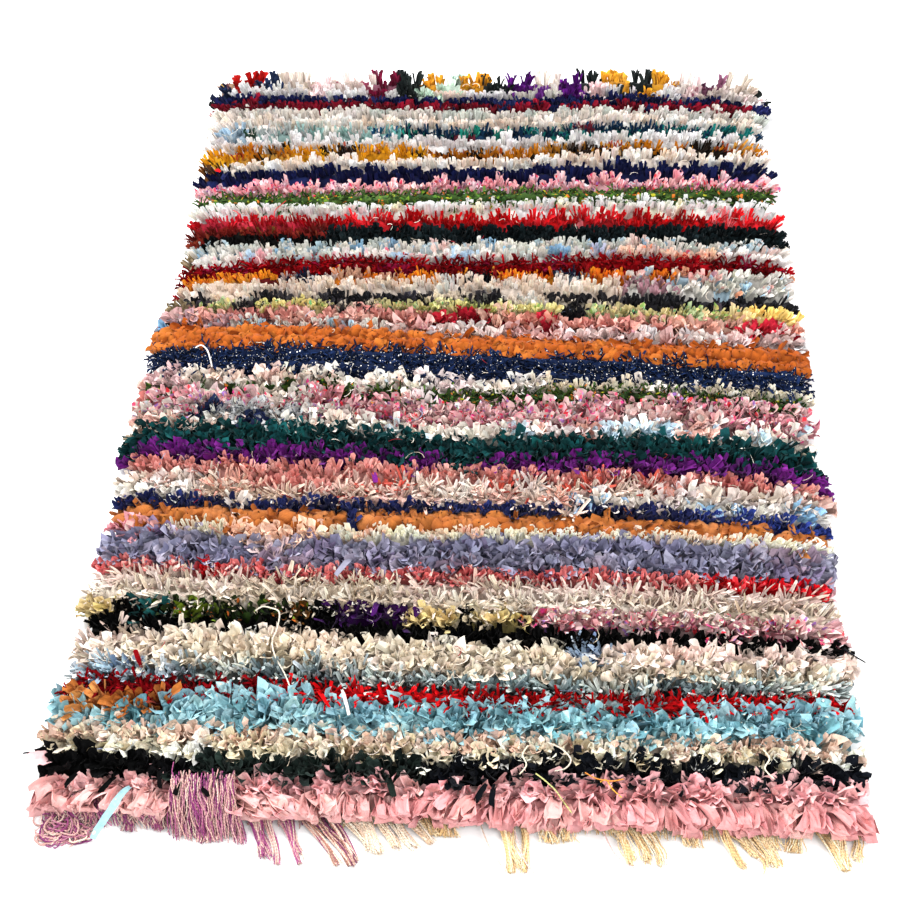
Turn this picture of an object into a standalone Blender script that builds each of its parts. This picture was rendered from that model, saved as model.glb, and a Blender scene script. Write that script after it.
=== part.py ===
"""Boucherouite rug: a thick rag-pile floor rug lying flat, with a loose warp fringe along its front edge.

Origin: middle of the underside. +X across the width, +Y towards the far end, +Z up. Metres.
"""
import math
from collections import namedtuple

import bmesh
import bpy

COLLECTION_NAME = "boucherouite_rug"

# overall sizes
FAR_EDGE_Y = 0.970          # far end of the pile
FRONT_EDGE_Y = -0.902       # front edge of the pile, where the rags hang to the floor
FRONT_SWAY = 0.006          # how much the front edge wanders
FRONT_SWAY_WAVES = 2.3      # wanders across the width
FAR_SWAY = 0.006
FAR_SWAY_WAVES = 1.4

# pile relief
VALLEY_DROP = 0.010         # how far the pile sinks between two rows of knots
SIDE_TAPER = ((0.000, 0.42), (0.020, 0.74), (0.055, 0.95), (0.110, 1.00))   # distance in from a side edge, share of the crown
FRONT_TAPER = ((0.000, 0.24), (0.014, 0.62), (0.034, 0.92), (0.070, 1.00))  # the same, back from the front edge
FAR_TAPER = ((0.000, 0.72), (0.016, 0.94), (0.040, 1.00))
SWELL = 0.035               # slow swell of the crown along and across the rug
SECTIONS_PER_ROW = 3        # valley, front shoulder, back shoulder
SHOULDER_SPREAD = 0.22      # shoulders sit this share of a row each side of its middle

# shares of the width where the pile is sectioned, closer together at the sides
COLUMN_SHARES = (0.000, 0.016, 0.044, 0.090, 0.160, 0.240, 0.325, 0.410, 0.500,
                 0.590, 0.675, 0.760, 0.840, 0.910, 0.956, 0.984, 1.000)

# fringe
FRINGE_GAP = 0.0003         # clearance to the pile
SPINE_DEPTH = 0.010         # band of bound warp ends that the tassels grow from
FRINGE_THICKNESS = 0.010    # at the spine
TIP_THICKNESS = 0.004
FRINGE_FROM_COLUMN = 1
FRINGE_TO_COLUMN = 15

# one entry per colour stripe, from the far end to the front:
# rows of knots, depth front to back, how much its right end lies beyond its left end, crown height, reach to each side
Stripe = namedtuple("Stripe", "name rows depth skew crown left right")
STRIPES = (
    Stripe("far_blocks", 1, 0.040, -0.012, 0.046, -0.640, 0.622),
    Stripe("white", 1, 0.040, -0.020, 0.044, -0.645, 0.622),
    Stripe("navy", 1, 0.027, -0.018, 0.040, -0.645, 0.640),
    Stripe("dark_red", 1, 0.024, -0.014, 0.040, -0.643, 0.638),
    Stripe("cream_wide", 2, 0.062, -0.007, 0.045, -0.638, 0.630),
    Stripe("mint_teal", 1, 0.036, -0.004, 0.042, -0.630, 0.612),
    Stripe("offwhite", 1, 0.037, 0.006, 0.044, -0.634, 0.612),
    Stripe("mustard", 1, 0.036, 0.016, 0.042, -0.630, 0.614),
    Stripe("cream_mid", 1, 0.035, 0.030, 0.044, -0.632, 0.620),
    Stripe("indigo", 1, 0.034, 0.028, 0.044, -0.630, 0.624),
    Stripe("floral", 1, 0.040, 0.029, 0.044, -0.628, 0.627),
    Stripe("green", 1, 0.036, 0.034, 0.041, -0.622, 0.630),
    Stripe("cream_tall", 1, 0.037, 0.026, 0.046, -0.626, 0.626),
    Stripe("red", 1, 0.046, 0.014, 0.045, -0.624, 0.630),
    Stripe("charcoal", 2, 0.062, 0.012, 0.043, -0.618, 0.629),
    Stripe("blue_white", 2, 0.055, 0.017, 0.044, -0.610, 0.632),
    Stripe("oxblood", 1, 0.031, 0.026, 0.043, -0.616, 0.635),
    Stripe("amber", 1, 0.024, 0.028, 0.040, -0.616, 0.636),
    Stripe("cream_fan", 1, 0.031, 0.026, 0.044, -0.611, 0.630),
    Stripe("soot", 1, 0.030, 0.014, 0.041, -0.608, 0.626),
    Stripe("pale_yellow", 1, 0.023, -0.002, 0.042, -0.608, 0.630),
    Stripe("salmon", 1, 0.041, -0.016, 0.043, -0.618, 0.636),
    Stripe("pale_mix", 1, 0.041, -0.022, 0.043, -0.625, 0.634),
    Stripe("rust", 2, 0.049, -0.033, 0.047, -0.636, 0.639),
    Stripe("navy_dot", 2, 0.057, -0.036, 0.044, -0.634, 0.641),
    Stripe("cream_slat", 1, 0.032, -0.030, 0.044, -0.626, 0.634),
    Stripe("leaf_green", 1, 0.031, -0.018, 0.041, -0.627, 0.628),
    Stripe("floral_wide", 1, 0.029, -0.014, 0.044, -0.630, 0.626),
    Stripe("cloud", 2, 0.062, -0.022, 0.044, -0.628, 0.632),
    Stripe("teal", 2, 0.053, -0.034, 0.046, -0.627, 0.618),
    Stripe("purple", 1, 0.021, -0.036, 0.044, -0.633, 0.634),
    Stripe("dusty_pink", 1, 0.026, -0.038, 0.043, -0.634, 0.645),
    Stripe("cream_pink", 2, 0.051, -0.031, 0.044, -0.624, 0.638),
    Stripe("cobalt", 1, 0.020, -0.028, 0.043, -0.617, 0.628),
    Stripe("orange", 1, 0.023, -0.024, 0.046, -0.618, 0.622),
    Stripe("blush", 1, 0.028, -0.016, 0.044, -0.618, 0.627),
    Stripe("periwinkle", 2, 0.058, -0.010, 0.046, -0.618, 0.624),
    Stripe("rose", 1, 0.026, -0.014, 0.043, -0.624, 0.620),
    Stripe("beige_wide", 2, 0.053, -0.018, 0.043, -0.625, 0.612),
    Stripe("patches", 1, 0.030, -0.020, 0.045, -0.630, 0.616),
    Stripe("black", 1, 0.039, -0.010, 0.044, -0.632, 0.626),
    Stripe("chunky_cream", 2, 0.062, -0.011, 0.046, -0.618, 0.630),
    Stripe("steel", 1, 0.030, -0.006, 0.045, -0.632, 0.619),
    Stripe("scarlet", 1, 0.028, -0.002, 0.041, -0.626, 0.622),
    Stripe("turquoise", 2, 0.052, -0.001, 0.048, -0.630, 0.627),
    Stripe("tweed", 1, 0.022, -0.004, 0.042, -0.634, 0.626),
    Stripe("beige_fray", 1, 0.024, -0.004, 0.043, -0.638, 0.622),
    Stripe("jet", 1, 0.027, 0.000, 0.045, -0.642, 0.628),
    Stripe("pink_rags", 2, 0.074, 0.008, 0.048, -0.644, 0.620),
)

# one entry per tassel or scallop, from left to right: where it leaves the spine, how wide it is there,
# where its tip lies, how wide that is, and how far it reaches from the pile
Tassel = namedtuple("Tassel", "name root root_width tip tip_width reach")
TASSELS = (
    Tassel("curled_bunch", -0.570, 0.088, -0.566, 0.062, 0.056),
    Tassel("frayed_stub", -0.452, 0.070, -0.448, 0.044, 0.022),
    Tassel("mauve_fan", -0.362, 0.086, -0.352, 0.062, 0.034),
    Tassel("mauve_long", -0.288, 0.044, -0.252, 0.022, 0.0624),
    Tassel("mauve_thin", -0.243, 0.028, -0.204, 0.014, 0.0610),
    Tassel("brown_long", -0.200, 0.046, -0.138, 0.024, 0.062),
    Tassel("peach_fan", -0.125, 0.090, -0.082, 0.056, 0.044),
    Tassel("cream_scallop", -0.018, 0.090, -0.006, 0.056, 0.019),
    Tassel("gold_one", 0.082, 0.052, 0.098, 0.024, 0.068),
    Tassel("gold_scallop", 0.158, 0.062, 0.160, 0.044, 0.024),
    Tassel("gold_two", 0.248, 0.070, 0.282, 0.036, 0.048),
    Tassel("cream_wisp", 0.356, 0.030, 0.362, 0.016, 0.024),
    Tassel("gold_three", 0.420, 0.070, 0.448, 0.036, 0.048),
    Tassel("gold_short", 0.494, 0.050, 0.500, 0.032, 0.025),
    Tassel("gold_four", 0.556, 0.062, 0.582, 0.036, 0.045),
)


def clear_scene():
    for obj in list(bpy.data.objects):
        bpy.data.objects.remove(obj, do_unlink=True)
    for block in (bpy.data.meshes, bpy.data.curves, bpy.data.materials):
        for item in list(block):
            block.remove(item)


def ramp(table, distance):
    """Read a two-column table of distance and value, straight between its entries."""
    previous = table[0]
    for entry in table[1:]:
        if distance <= entry[0]:
            share = (distance - previous[0]) / (entry[0] - previous[0])
            return previous[1] + (entry[1] - previous[1]) * max(share, 0.0)
        previous = entry
    return previous[1]


def front_line(x):
    half_width = 0.645
    return FRONT_EDGE_Y + FRONT_SWAY * math.sin(math.pi * FRONT_SWAY_WAVES * x / half_width + 0.9)


def far_line(x):
    half_width = 0.645
    return FAR_EDGE_Y - FAR_SWAY * (1.0 - math.cos(math.pi * FAR_SWAY_WAVES * x / half_width)) * 0.5


def pile_sections():
    """Every section across the rug: its place, skew, relief and side reaches, far end first."""
    section = namedtuple("Section", "y skew crown left right")
    first, last = STRIPES[0], STRIPES[-1]
    sections = [section(FAR_EDGE_Y, 0.0, first.crown - VALLEY_DROP * 0.3, first.left, first.right)]
    scale = (FAR_EDGE_Y - FRONT_EDGE_Y) / sum(stripe.depth for stripe in STRIPES)
    y = FAR_EDGE_Y
    for number, stripe in enumerate(STRIPES):
        pitch = stripe.depth * scale / stripe.rows
        for row in range(stripe.rows):
            middle = y - pitch * 0.5
            for side in (1.0, -1.0):
                sections.append(section(middle + side * SHOULDER_SPREAD * pitch, stripe.skew, stripe.crown,
                                        stripe.left, stripe.right))
            y -= pitch
            is_last_row = row == stripe.rows - 1
            after = STRIPES[min(number + 1, len(STRIPES) - 1)] if is_last_row else stripe
            if is_last_row and stripe is last:
                break
            sections.append(section(y, (stripe.skew + after.skew) / 2.0,
                                    min(stripe.crown, after.crown) - VALLEY_DROP,
                                    max(stripe.left, after.left) + 0.002,
                                    min(stripe.right, after.right) - 0.002))
    sections.append(section(FRONT_EDGE_Y, 0.0, last.crown, last.left, last.right))
    return sections


def section_y(sections, index, x, width):
    """Front-to-back place of a section at x. The skew fades towards both ends of the rug, which run nearly straight."""
    section = sections[index]
    along = (FAR_EDGE_Y - section.y) / (FAR_EDGE_Y - FRONT_EDGE_Y)
    y = section.y + section.skew * x / width
    far_share = max(0.0, 1.0 - along / 0.04)
    front_share = max(0.0, 1.0 - (1.0 - along) / 0.05)
    y += (far_line(x) - FAR_EDGE_Y) * far_share
    y += (front_line(x) - FRONT_EDGE_Y) * front_share
    return y


def crown_at(section, x, y, from_left, from_right):
    swell = 1.0 + SWELL * math.sin(7.0 * x + 1.3) * math.sin(5.0 * y + 0.4)
    side = min(ramp(SIDE_TAPER, from_left), ramp(SIDE_TAPER, from_right))
    front = ramp(FRONT_TAPER, max(y - front_line(x), 0.0))
    far = ramp(FAR_TAPER, max(far_line(x) - y, 0.0))
    return section.crown * swell * side * front * far


def fabric_material(name, colour, roughness):
    material = bpy.data.materials.new(name)
    material.use_nodes = True
    shader = material.node_tree.nodes["Principled BSDF"]
    shader.inputs["Base Color"].default_value = (*colour, 1.0)
    shader.inputs["Roughness"].default_value = roughness
    material.diffuse_color = (*colour, 1.0)
    return material


def build_rug_body(collection):
    sections = pile_sections()
    columns = len(COLUMN_SHARES)
    bm = bmesh.new()
    bmesh.ops.create_grid(bm, x_segments=columns - 1, y_segments=len(sections) - 1, size=1.0)
    across = sorted({round(v.co.x, 5) for v in bm.verts})
    along = sorted({round(v.co.y, 5) for v in bm.verts}, reverse=True)
    for vert in bm.verts:
        column = across.index(round(vert.co.x, 5))
        index = along.index(round(vert.co.y, 5))
        section = sections[index]
        width = section.right - section.left
        from_left = COLUMN_SHARES[column] * width
        x = section.left + from_left
        y = section_y(sections, index, x, width)
        vert.co = (x, y, crown_at(section, x, y, from_left, width - from_left))
    rim = [edge for edge in bm.edges if edge.is_boundary]
    skirt = bmesh.ops.extrude_edge_only(bm, edges=rim)["geom"]
    for item in skirt:
        if isinstance(item, bmesh.types.BMVert):
            item.co.z = 0.0
    hem = [item for item in skirt if isinstance(item, bmesh.types.BMEdge)]
    bmesh.ops.edgeloop_fill(bm, edges=hem)
    bmesh.ops.recalc_face_normals(bm, faces=bm.faces)
    mesh = bpy.data.meshes.new("rug_body")
    bm.to_mesh(mesh)
    bm.free()
    body = bpy.data.objects.new("rug_body", mesh)
    collection.objects.link(body)
    return body, sections[-1]


def comb_outline(front_section):
    """Plan outline of the fringe: back edge along the pile, then each tassel from right to left."""
    width = front_section.right - front_section.left
    back = []
    for column in range(FRINGE_FROM_COLUMN, FRINGE_TO_COLUMN + 1):
        x = front_section.left + COLUMN_SHARES[column] * width
        back.append((x, front_line(x) - FRINGE_GAP))
    outline = list(back)
    outline.append((back[-1][0], front_line(back[-1][0]) - SPINE_DEPTH))
    for tassel in reversed(TASSELS):
        right_root = tassel.root + tassel.root_width / 2.0
        left_root = tassel.root - tassel.root_width / 2.0
        tip_y = front_line(tassel.tip) - tassel.reach
        outline.append((right_root, front_line(right_root) - SPINE_DEPTH))
        outline.append((tassel.tip + tassel.tip_width / 2.0, tip_y + 0.004))
        outline.append((tassel.tip, tip_y))
        outline.append((tassel.tip - tassel.tip_width / 2.0, tip_y + 0.005))
        outline.append((left_root, front_line(left_root) - SPINE_DEPTH))
    outline.append((back[0][0], front_line(back[0][0]) - SPINE_DEPTH))
    return outline


def build_warp_fringe(collection, front_section):
    curve = bpy.data.curves.new("warp_fringe_outline", "CURVE")
    curve.dimensions = "2D"
    curve.fill_mode = "BOTH"
    curve.extrude = FRINGE_THICKNESS / 2.0
    outline = comb_outline(front_section)
    spline = curve.splines.new("POLY")
    spline.points.add(len(outline) - 1)
    for point, (x, y) in zip(spline.points, outline):
        point.co = (x, y, 0.0, 1.0)
    spline.use_cyclic_u = True
    carrier = bpy.data.objects.new("warp_fringe_outline", curve)
    collection.objects.link(carrier)
    bpy.context.view_layer.update()
    mesh = bpy.data.meshes.new_from_object(carrier)
    mesh.name = "warp_fringe"
    bpy.data.objects.remove(carrier, do_unlink=True)
    bpy.data.curves.remove(curve)

    longest = max(tassel.reach for tassel in TASSELS)
    bm = bmesh.new()
    bm.from_mesh(mesh)
    bmesh.ops.remove_doubles(bm, verts=bm.verts, dist=0.00002)
    for vert in bm.verts:
        top = vert.co.z > 0.0
        out = max(front_line(vert.co.x) - SPINE_DEPTH - vert.co.y, 0.0) / longest
        vert.co.z = (FRINGE_THICKNESS + (TIP_THICKNESS - FRINGE_THICKNESS) * out) if top else 0.0
    bmesh.ops.recalc_face_normals(bm, faces=bm.faces)
    bm.to_mesh(mesh)
    bm.free()
    fringe = bpy.data.objects.new("warp_fringe", mesh)
    collection.objects.link(fringe)
    return fringe


def main():
    clear_scene()
    collection = bpy.data.collections.new(COLLECTION_NAME)
    bpy.context.scene.collection.children.link(collection)
    body, front_section = build_rug_body(collection)
    body.data.materials.append(fabric_material("pile_rags", (0.62, 0.47, 0.44), 0.95))
    fringe = build_warp_fringe(collection, front_section)
    fringe.data.materials.append(fabric_material("warp_yarn", (0.72, 0.58, 0.42), 0.95))


main()
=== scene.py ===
"""Looks of the boucherouite rug: woven ground, rag pile row by row, warp fringe, loose strands."""
import math
from collections import namedtuple

import bpy
import numpy as np
from mathutils import Matrix, Vector
from mathutils.bvhtree import BVHTree


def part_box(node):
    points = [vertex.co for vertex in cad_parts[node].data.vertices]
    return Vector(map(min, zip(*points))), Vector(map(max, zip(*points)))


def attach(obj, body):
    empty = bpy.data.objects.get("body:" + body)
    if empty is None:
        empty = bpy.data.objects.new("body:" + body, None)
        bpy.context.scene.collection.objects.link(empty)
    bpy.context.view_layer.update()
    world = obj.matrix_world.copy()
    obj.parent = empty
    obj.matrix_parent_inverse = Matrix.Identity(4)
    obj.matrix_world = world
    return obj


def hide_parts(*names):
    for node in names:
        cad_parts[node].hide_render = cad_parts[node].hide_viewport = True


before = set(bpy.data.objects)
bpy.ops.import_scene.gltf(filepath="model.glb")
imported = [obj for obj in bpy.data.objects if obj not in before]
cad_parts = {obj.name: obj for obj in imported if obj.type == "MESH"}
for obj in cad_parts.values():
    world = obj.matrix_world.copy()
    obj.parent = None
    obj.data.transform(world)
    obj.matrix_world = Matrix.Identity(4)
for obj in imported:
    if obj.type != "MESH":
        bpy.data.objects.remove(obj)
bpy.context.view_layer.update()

SEED = 7310
LEAN = 12.0 * math.pi / 180.0

# ----------------------------------------------------------------------------------------------
# camera, in the frame of the CAD
# ----------------------------------------------------------------------------------------------
CAM_POS = (0.12349, -1.83963, 1.93715)
CAM_PITCH, CAM_YAW, CAM_ROLL = 0.856721, 0.0931940, -0.0534057
CAM_LENS = 56.0


def make_camera():
    cp, sp = math.cos(CAM_PITCH), math.sin(CAM_PITCH)
    cy, sy = math.cos(CAM_YAW), math.sin(CAM_YAW)
    forward = Vector((-sy * cp, cy * cp, -sp))
    right = Vector((cy, sy, 0.0))
    up = right.cross(forward)
    cr, sr = math.cos(CAM_ROLL), math.sin(CAM_ROLL)
    x_axis = cr * right + sr * up
    y_axis = -sr * right + cr * up
    z_axis = -forward
    data = bpy.data.cameras.new("camera")
    data.lens, data.sensor_width, data.sensor_fit = CAM_LENS, 36.0, "HORIZONTAL"
    data.clip_start, data.clip_end = 0.05, 60.0
    cam = bpy.data.objects.new("camera", data)
    m = Matrix((x_axis, y_axis, z_axis)).transposed().to_4x4()
    m.translation = Vector(CAM_POS)
    cam.matrix_world = m
    bpy.context.scene.collection.objects.link(cam)
    bpy.context.scene.camera = cam


make_camera()

# ----------------------------------------------------------------------------------------------
# the CAD solid as a guide: side outline, ends and pile height
# ----------------------------------------------------------------------------------------------


def guide_of(node):
    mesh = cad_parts[node].data
    verts = [v.co.copy() for v in mesh.vertices]
    polys = [tuple(p.vertices) for p in mesh.polygons]
    return BVHTree.FromPolygons(verts, polys), np.array([v[:] for v in verts])


BODY_TREE, BODY_VERTS = guide_of("rug_body")
LOW, HIGH = (np.array(c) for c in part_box("rug_body"))
GRID = 0.006


def height_field():
    nx = int((HIGH[0] - LOW[0]) / GRID) + 1
    ny = int((HIGH[1] - LOW[1]) / GRID) + 1
    field = np.zeros((ny, nx))
    down = Vector((0, 0, -1))
    cast = BODY_TREE.ray_cast
    for j in range(ny):
        y = LOW[1] + j * GRID
        for i in range(nx):
            hit = cast(Vector((LOW[0] + i * GRID, y, 0.2)), down)
            if hit[0] is not None:
                field[j, i] = hit[0].z
    return field


FIELD = height_field()


def cad_height(x, y):
    """Pile height of the CAD solid, 0 outside it."""
    fx = (np.asarray(x) - LOW[0]) / GRID
    fy = (np.asarray(y) - LOW[1]) / GRID
    inside = (fx >= 0) & (fy >= 0) & (fx < FIELD.shape[1] - 1) & (fy < FIELD.shape[0] - 1)
    fx = np.clip(fx, 0, FIELD.shape[1] - 1.001)
    fy = np.clip(fy, 0, FIELD.shape[0] - 1.001)
    i, j = fx.astype(int), fy.astype(int)
    u, v = fx - i, fy - j
    h = (FIELD[j, i] * (1 - u) + FIELD[j, i + 1] * u) * (1 - v) + (FIELD[j + 1, i] * (1 - u) + FIELD[j + 1, i + 1] * u) * v
    return np.where(inside, h, 0.0)


def side_reach():
    """Left and right edge of the CAD solid for each line of the height field."""
    ys = LOW[1] + np.arange(FIELD.shape[0]) * GRID
    left, right = np.empty(len(ys)), np.empty(len(ys))
    for j, line in enumerate(FIELD):
        held = np.flatnonzero(line > 0.003)
        if len(held) == 0:
            left[j], right[j] = np.nan, np.nan
        else:
            left[j], right[j] = LOW[0] + held[0] * GRID, LOW[0] + held[-1] * GRID
    good = ~np.isnan(left)
    return ys[good], left[good], right[good]


REACH_Y, REACH_LEFT, REACH_RIGHT = side_reach()


def left_edge(y):
    return np.interp(y, REACH_Y, REACH_LEFT)


def right_edge(y):
    return np.interp(y, REACH_Y, REACH_RIGHT)


# ----------------------------------------------------------------------------------------------
# colour helpers
# ----------------------------------------------------------------------------------------------


def linear(hex_colour):
    """sRGB hex text to linear rgb."""
    c = np.array([int(hex_colour[i:i + 2], 16) / 255.0 for i in (0, 2, 4)])
    return np.where(c <= 0.04045, c / 12.92, ((c + 0.055) / 1.055) ** 2.4)


# ----------------------------------------------------------------------------------------------
# materials
# ----------------------------------------------------------------------------------------------


class Nodes:
    def __init__(self, name, roughness, sheen, sheen_roughness=0.5, specular=0.10):
        self.mat = bpy.data.materials.new(name)
        self.mat.use_nodes = True
        self.tree = self.mat.node_tree
        self.shader = self.tree.nodes["Principled BSDF"]
        self.shader.inputs["Roughness"].default_value = roughness
        self.shader.inputs["Specular IOR Level"].default_value = specular
        self.shader.inputs["Sheen Weight"].default_value = sheen
        self.shader.inputs["Sheen Roughness"].default_value = sheen_roughness

    def add(self, kind, **settings):
        node = self.tree.nodes.new(kind)
        for key, value in settings.items():
            setattr(node, key, value)
        return node

    def link(self, a, b):
        self.tree.links.new(a, b)

    def uv(self, name):
        return self.add("ShaderNodeUVMap", uv_map=name).outputs["UV"]

    def tint(self):
        return self.add("ShaderNodeAttribute", attribute_name="Tint").outputs["Color"]

    def place(self):
        return self.add("ShaderNodeTexCoord").outputs["Object"]

    def noise(self, vector, scale, detail=2.0, rough=0.5, stretch=None, distortion=0.0):
        if stretch is not None:
            vector = self.scaled(vector, stretch)
        node = self.add("ShaderNodeTexNoise")
        node.inputs["Scale"].default_value = scale
        node.inputs["Detail"].default_value = detail
        node.inputs["Roughness"].default_value = rough
        node.inputs["Distortion"].default_value = distortion
        self.link(vector, node.inputs["Vector"])
        return node.outputs["Fac"]

    def scaled(self, vector, scale):
        node = self.add("ShaderNodeMapping")
        node.inputs["Scale"].default_value = scale
        self.link(vector, node.inputs["Vector"])
        return node.outputs["Vector"]

    def voronoi(self, vector, scale, feature="F1", randomness=1.0):
        node = self.add("ShaderNodeTexVoronoi", feature=feature)
        node.inputs["Scale"].default_value = scale
        node.inputs["Randomness"].default_value = randomness
        self.link(vector, node.inputs["Vector"])
        return node

    def wave(self, vector, scale, direction, distortion=0.0):
        node = self.add("ShaderNodeTexWave", wave_type="BANDS", bands_direction=direction, wave_profile="SIN")
        node.inputs["Scale"].default_value = scale
        node.inputs["Distortion"].default_value = distortion
        node.inputs["Detail"].default_value = 1.0
        self.link(vector, node.inputs["Vector"])
        return node.outputs["Fac"]

    def math(self, operation, a, b=0.0, clamp=False):
        node = self.add("ShaderNodeMath", operation=operation, use_clamp=clamp)
        for socket, value in zip(node.inputs, (a, b)):
            if isinstance(value, (int, float)):
                socket.default_value = value
            else:
                self.link(value, socket)
        return node.outputs["Value"]

    def span(self, value, low, high, to_low, to_high, smooth=False):
        node = self.add("ShaderNodeMapRange", interpolation_type="SMOOTHSTEP" if smooth else "LINEAR")
        node.inputs["From Min"].default_value = low
        node.inputs["From Max"].default_value = high
        node.inputs["To Min"].default_value = to_low
        node.inputs["To Max"].default_value = to_high
        self.link(value, node.inputs["Value"])
        return node.outputs["Result"]

    def times(self, colour, factor):
        """Colour scaled by a value."""
        node = self.add("ShaderNodeVectorMath", operation="SCALE")
        self.link(colour, node.inputs[0])
        self.link(factor, node.inputs["Scale"])
        return node.outputs["Vector"]

    def mix(self, factor, a, b):
        node = self.add("ShaderNodeMix", data_type="RGBA", blend_type="MIX")
        self.link(factor, node.inputs[0])
        for socket, value in zip((node.inputs[6], node.inputs[7]), (a, b)):
            if isinstance(value, str):
                socket.default_value = (*linear(value), 1.0)
            else:
                self.link(value, socket)
        return node.outputs[2]

    def ramp(self, value, stops, constant=False):
        node = self.add("ShaderNodeValToRGB")
        node.color_ramp.interpolation = "CONSTANT" if constant else "LINEAR"
        elements = node.color_ramp.elements
        while len(elements) > 1:
            elements.remove(elements[-1])
        elements[0].position = stops[0][0]
        elements[0].color = (*linear(stops[0][1]), 1.0)
        for position, colour in stops[1:]:
            element = elements.new(position)
            element.color = (*linear(colour), 1.0)
        self.link(value, node.inputs["Fac"])
        return node.outputs["Color"]

    def bump(self, heights, strength=0.4, distance=0.001):
        node = self.add("ShaderNodeBump")
        node.inputs["Strength"].default_value = strength
        node.inputs["Distance"].default_value = distance
        self.link(heights, node.inputs["Height"])
        self.link(node.outputs["Normal"], self.shader.inputs["Normal"])

    def finish(self, colour, rough=None):
        self.link(colour, self.shader.inputs["Base Color"])
        if rough is not None:
            self.link(rough, self.shader.inputs["Roughness"])
        return self.mat


def woven(n, cloth, pitch):
    """Plain weave seen as a height from 0 to 1."""
    a = n.wave(cloth, 0.5 / pitch / math.pi, "X")
    b = n.wave(cloth, 0.5 / pitch / math.pi, "Y")
    return n.math("MULTIPLY", n.math("MAXIMUM", a, b), 1.0)


def cotton(name, pitch=0.0011, sheen=0.03, mottle=0.16, roughness=0.9, bump=0.35, streak=0.10):
    n = Nodes(name, roughness, sheen)
    cloth, place = n.uv("Cloth"), n.place()
    weave = woven(n, cloth, pitch)
    big = n.noise(place, 45.0, 3.0, 0.6)
    fine = n.noise(cloth, 420.0, 2.0, 0.7)
    thread = n.noise(cloth, 160.0, 2.0, 0.5, stretch=(9.0, 0.8, 1.0))
    shade = n.span(big, 0.3, 0.7, 1.0 - mottle, 1.0 + mottle * 0.8)
    shade = n.math("MULTIPLY", shade, n.span(thread, 0.3, 0.7, 1.0 - streak, 1.0 + streak))
    shade = n.math("MULTIPLY", shade, n.span(weave, 0.0, 1.0, 0.92, 1.06))
    shade = n.math("MULTIPLY", shade, n.span(fine, 0.3, 0.7, 0.96, 1.04))
    n.bump(n.math("ADD", n.math("MULTIPLY", weave, 0.5), n.math("MULTIPLY", thread, 0.8)), bump, 0.0012)
    return n.finish(n.times(n.tint(), shade), n.span(fine, 0.2, 0.8, roughness - 0.12, roughness + 0.08))


def jersey(name, sheen=0.06, mottle=0.22, roughness=0.92):
    n = Nodes(name, roughness, sheen, 0.4)
    cloth, place = n.uv("Cloth"), n.place()
    rib = n.wave(cloth, 0.5 / 0.0014 / math.pi, "X", 1.5)
    course = n.wave(n.scaled(cloth, (1.0, 1.0, 1.0)), 0.5 / 0.0012 / math.pi, "Y", 2.0)
    fluff = n.noise(place, 260.0, 3.0, 0.65)
    big = n.noise(place, 60.0, 2.0, 0.5)
    shade = n.math("MULTIPLY", n.span(big, 0.3, 0.7, 1.0 - mottle, 1.0 + mottle), n.span(fluff, 0.25, 0.75, 0.86, 1.14))
    shade = n.math("MULTIPLY", shade, n.span(rib, 0.0, 1.0, 0.93, 1.07))
    n.bump(n.math("ADD", n.math("MULTIPLY", n.math("MULTIPLY", rib, course), 0.5), fluff), 0.4, 0.0012)
    return n.finish(n.times(n.tint(), shade), n.span(fluff, 0.2, 0.8, roughness - 0.1, min(roughness + 0.06, 1.0)))


def linen(name, sheen=0.04, contrast=0.3):
    """Frayed, loosely spun cloth: strong streaks along the strip."""
    n = Nodes(name, 0.93, sheen)
    cloth, place = n.uv("Cloth"), n.place()
    slub = n.noise(cloth, 130.0, 3.0, 0.6, stretch=(8.0, 0.9, 1.0))
    thread = n.noise(cloth, 300.0, 2.0, 0.6, stretch=(6.0, 0.6, 1.0))
    cloud = n.noise(place, 70.0, 3.0, 0.6)
    shade = n.math("MULTIPLY", n.span(slub, 0.28, 0.72, 1.0 - contrast, 1.0 + contrast * 0.7), n.span(thread, 0.3, 0.7, 0.9, 1.1))
    shade = n.math("MULTIPLY", shade, n.span(cloud, 0.3, 0.7, 0.92, 1.08))
    n.bump(n.math("ADD", slub, n.math("MULTIPLY", thread, 0.6)), 0.6, 0.0016)
    return n.finish(n.times(n.tint(), shade), n.span(thread, 0.2, 0.8, 0.86, 1.0))


def dotted(name, dot, pitch, radius, sheen=0.02, wobble=0.5):
    """Dots of one colour scattered over the strip's own tint."""
    n = Nodes(name, 0.9, sheen)
    cloth, place = n.uv("Cloth"), n.place()
    cells = n.voronoi(cloth, 1.0 / pitch, randomness=wobble)
    spot = n.span(cells.outputs["Distance"], radius / pitch * 0.8, radius / pitch * 1.15, 1.0, 0.0, smooth=True)
    weave = woven(n, cloth, 0.0011)
    fine = n.noise(place, 220.0, 3.0, 0.6)
    big = n.noise(place, 55.0, 2.0, 0.5)
    shade = n.math("MULTIPLY", n.span(fine, 0.25, 0.75, 0.86, 1.1), n.span(big, 0.3, 0.7, 0.82, 1.1))
    shade = n.math("MULTIPLY", shade, n.span(weave, 0.0, 1.0, 0.9, 1.04))
    n.bump(n.math("ADD", n.math("MULTIPLY", weave, 0.5), fine), 0.4, 0.0012)
    return n.finish(n.times(n.mix(spot, n.tint(), dot), shade), n.span(fine, 0.2, 0.8, 0.8, 0.97))


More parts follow.
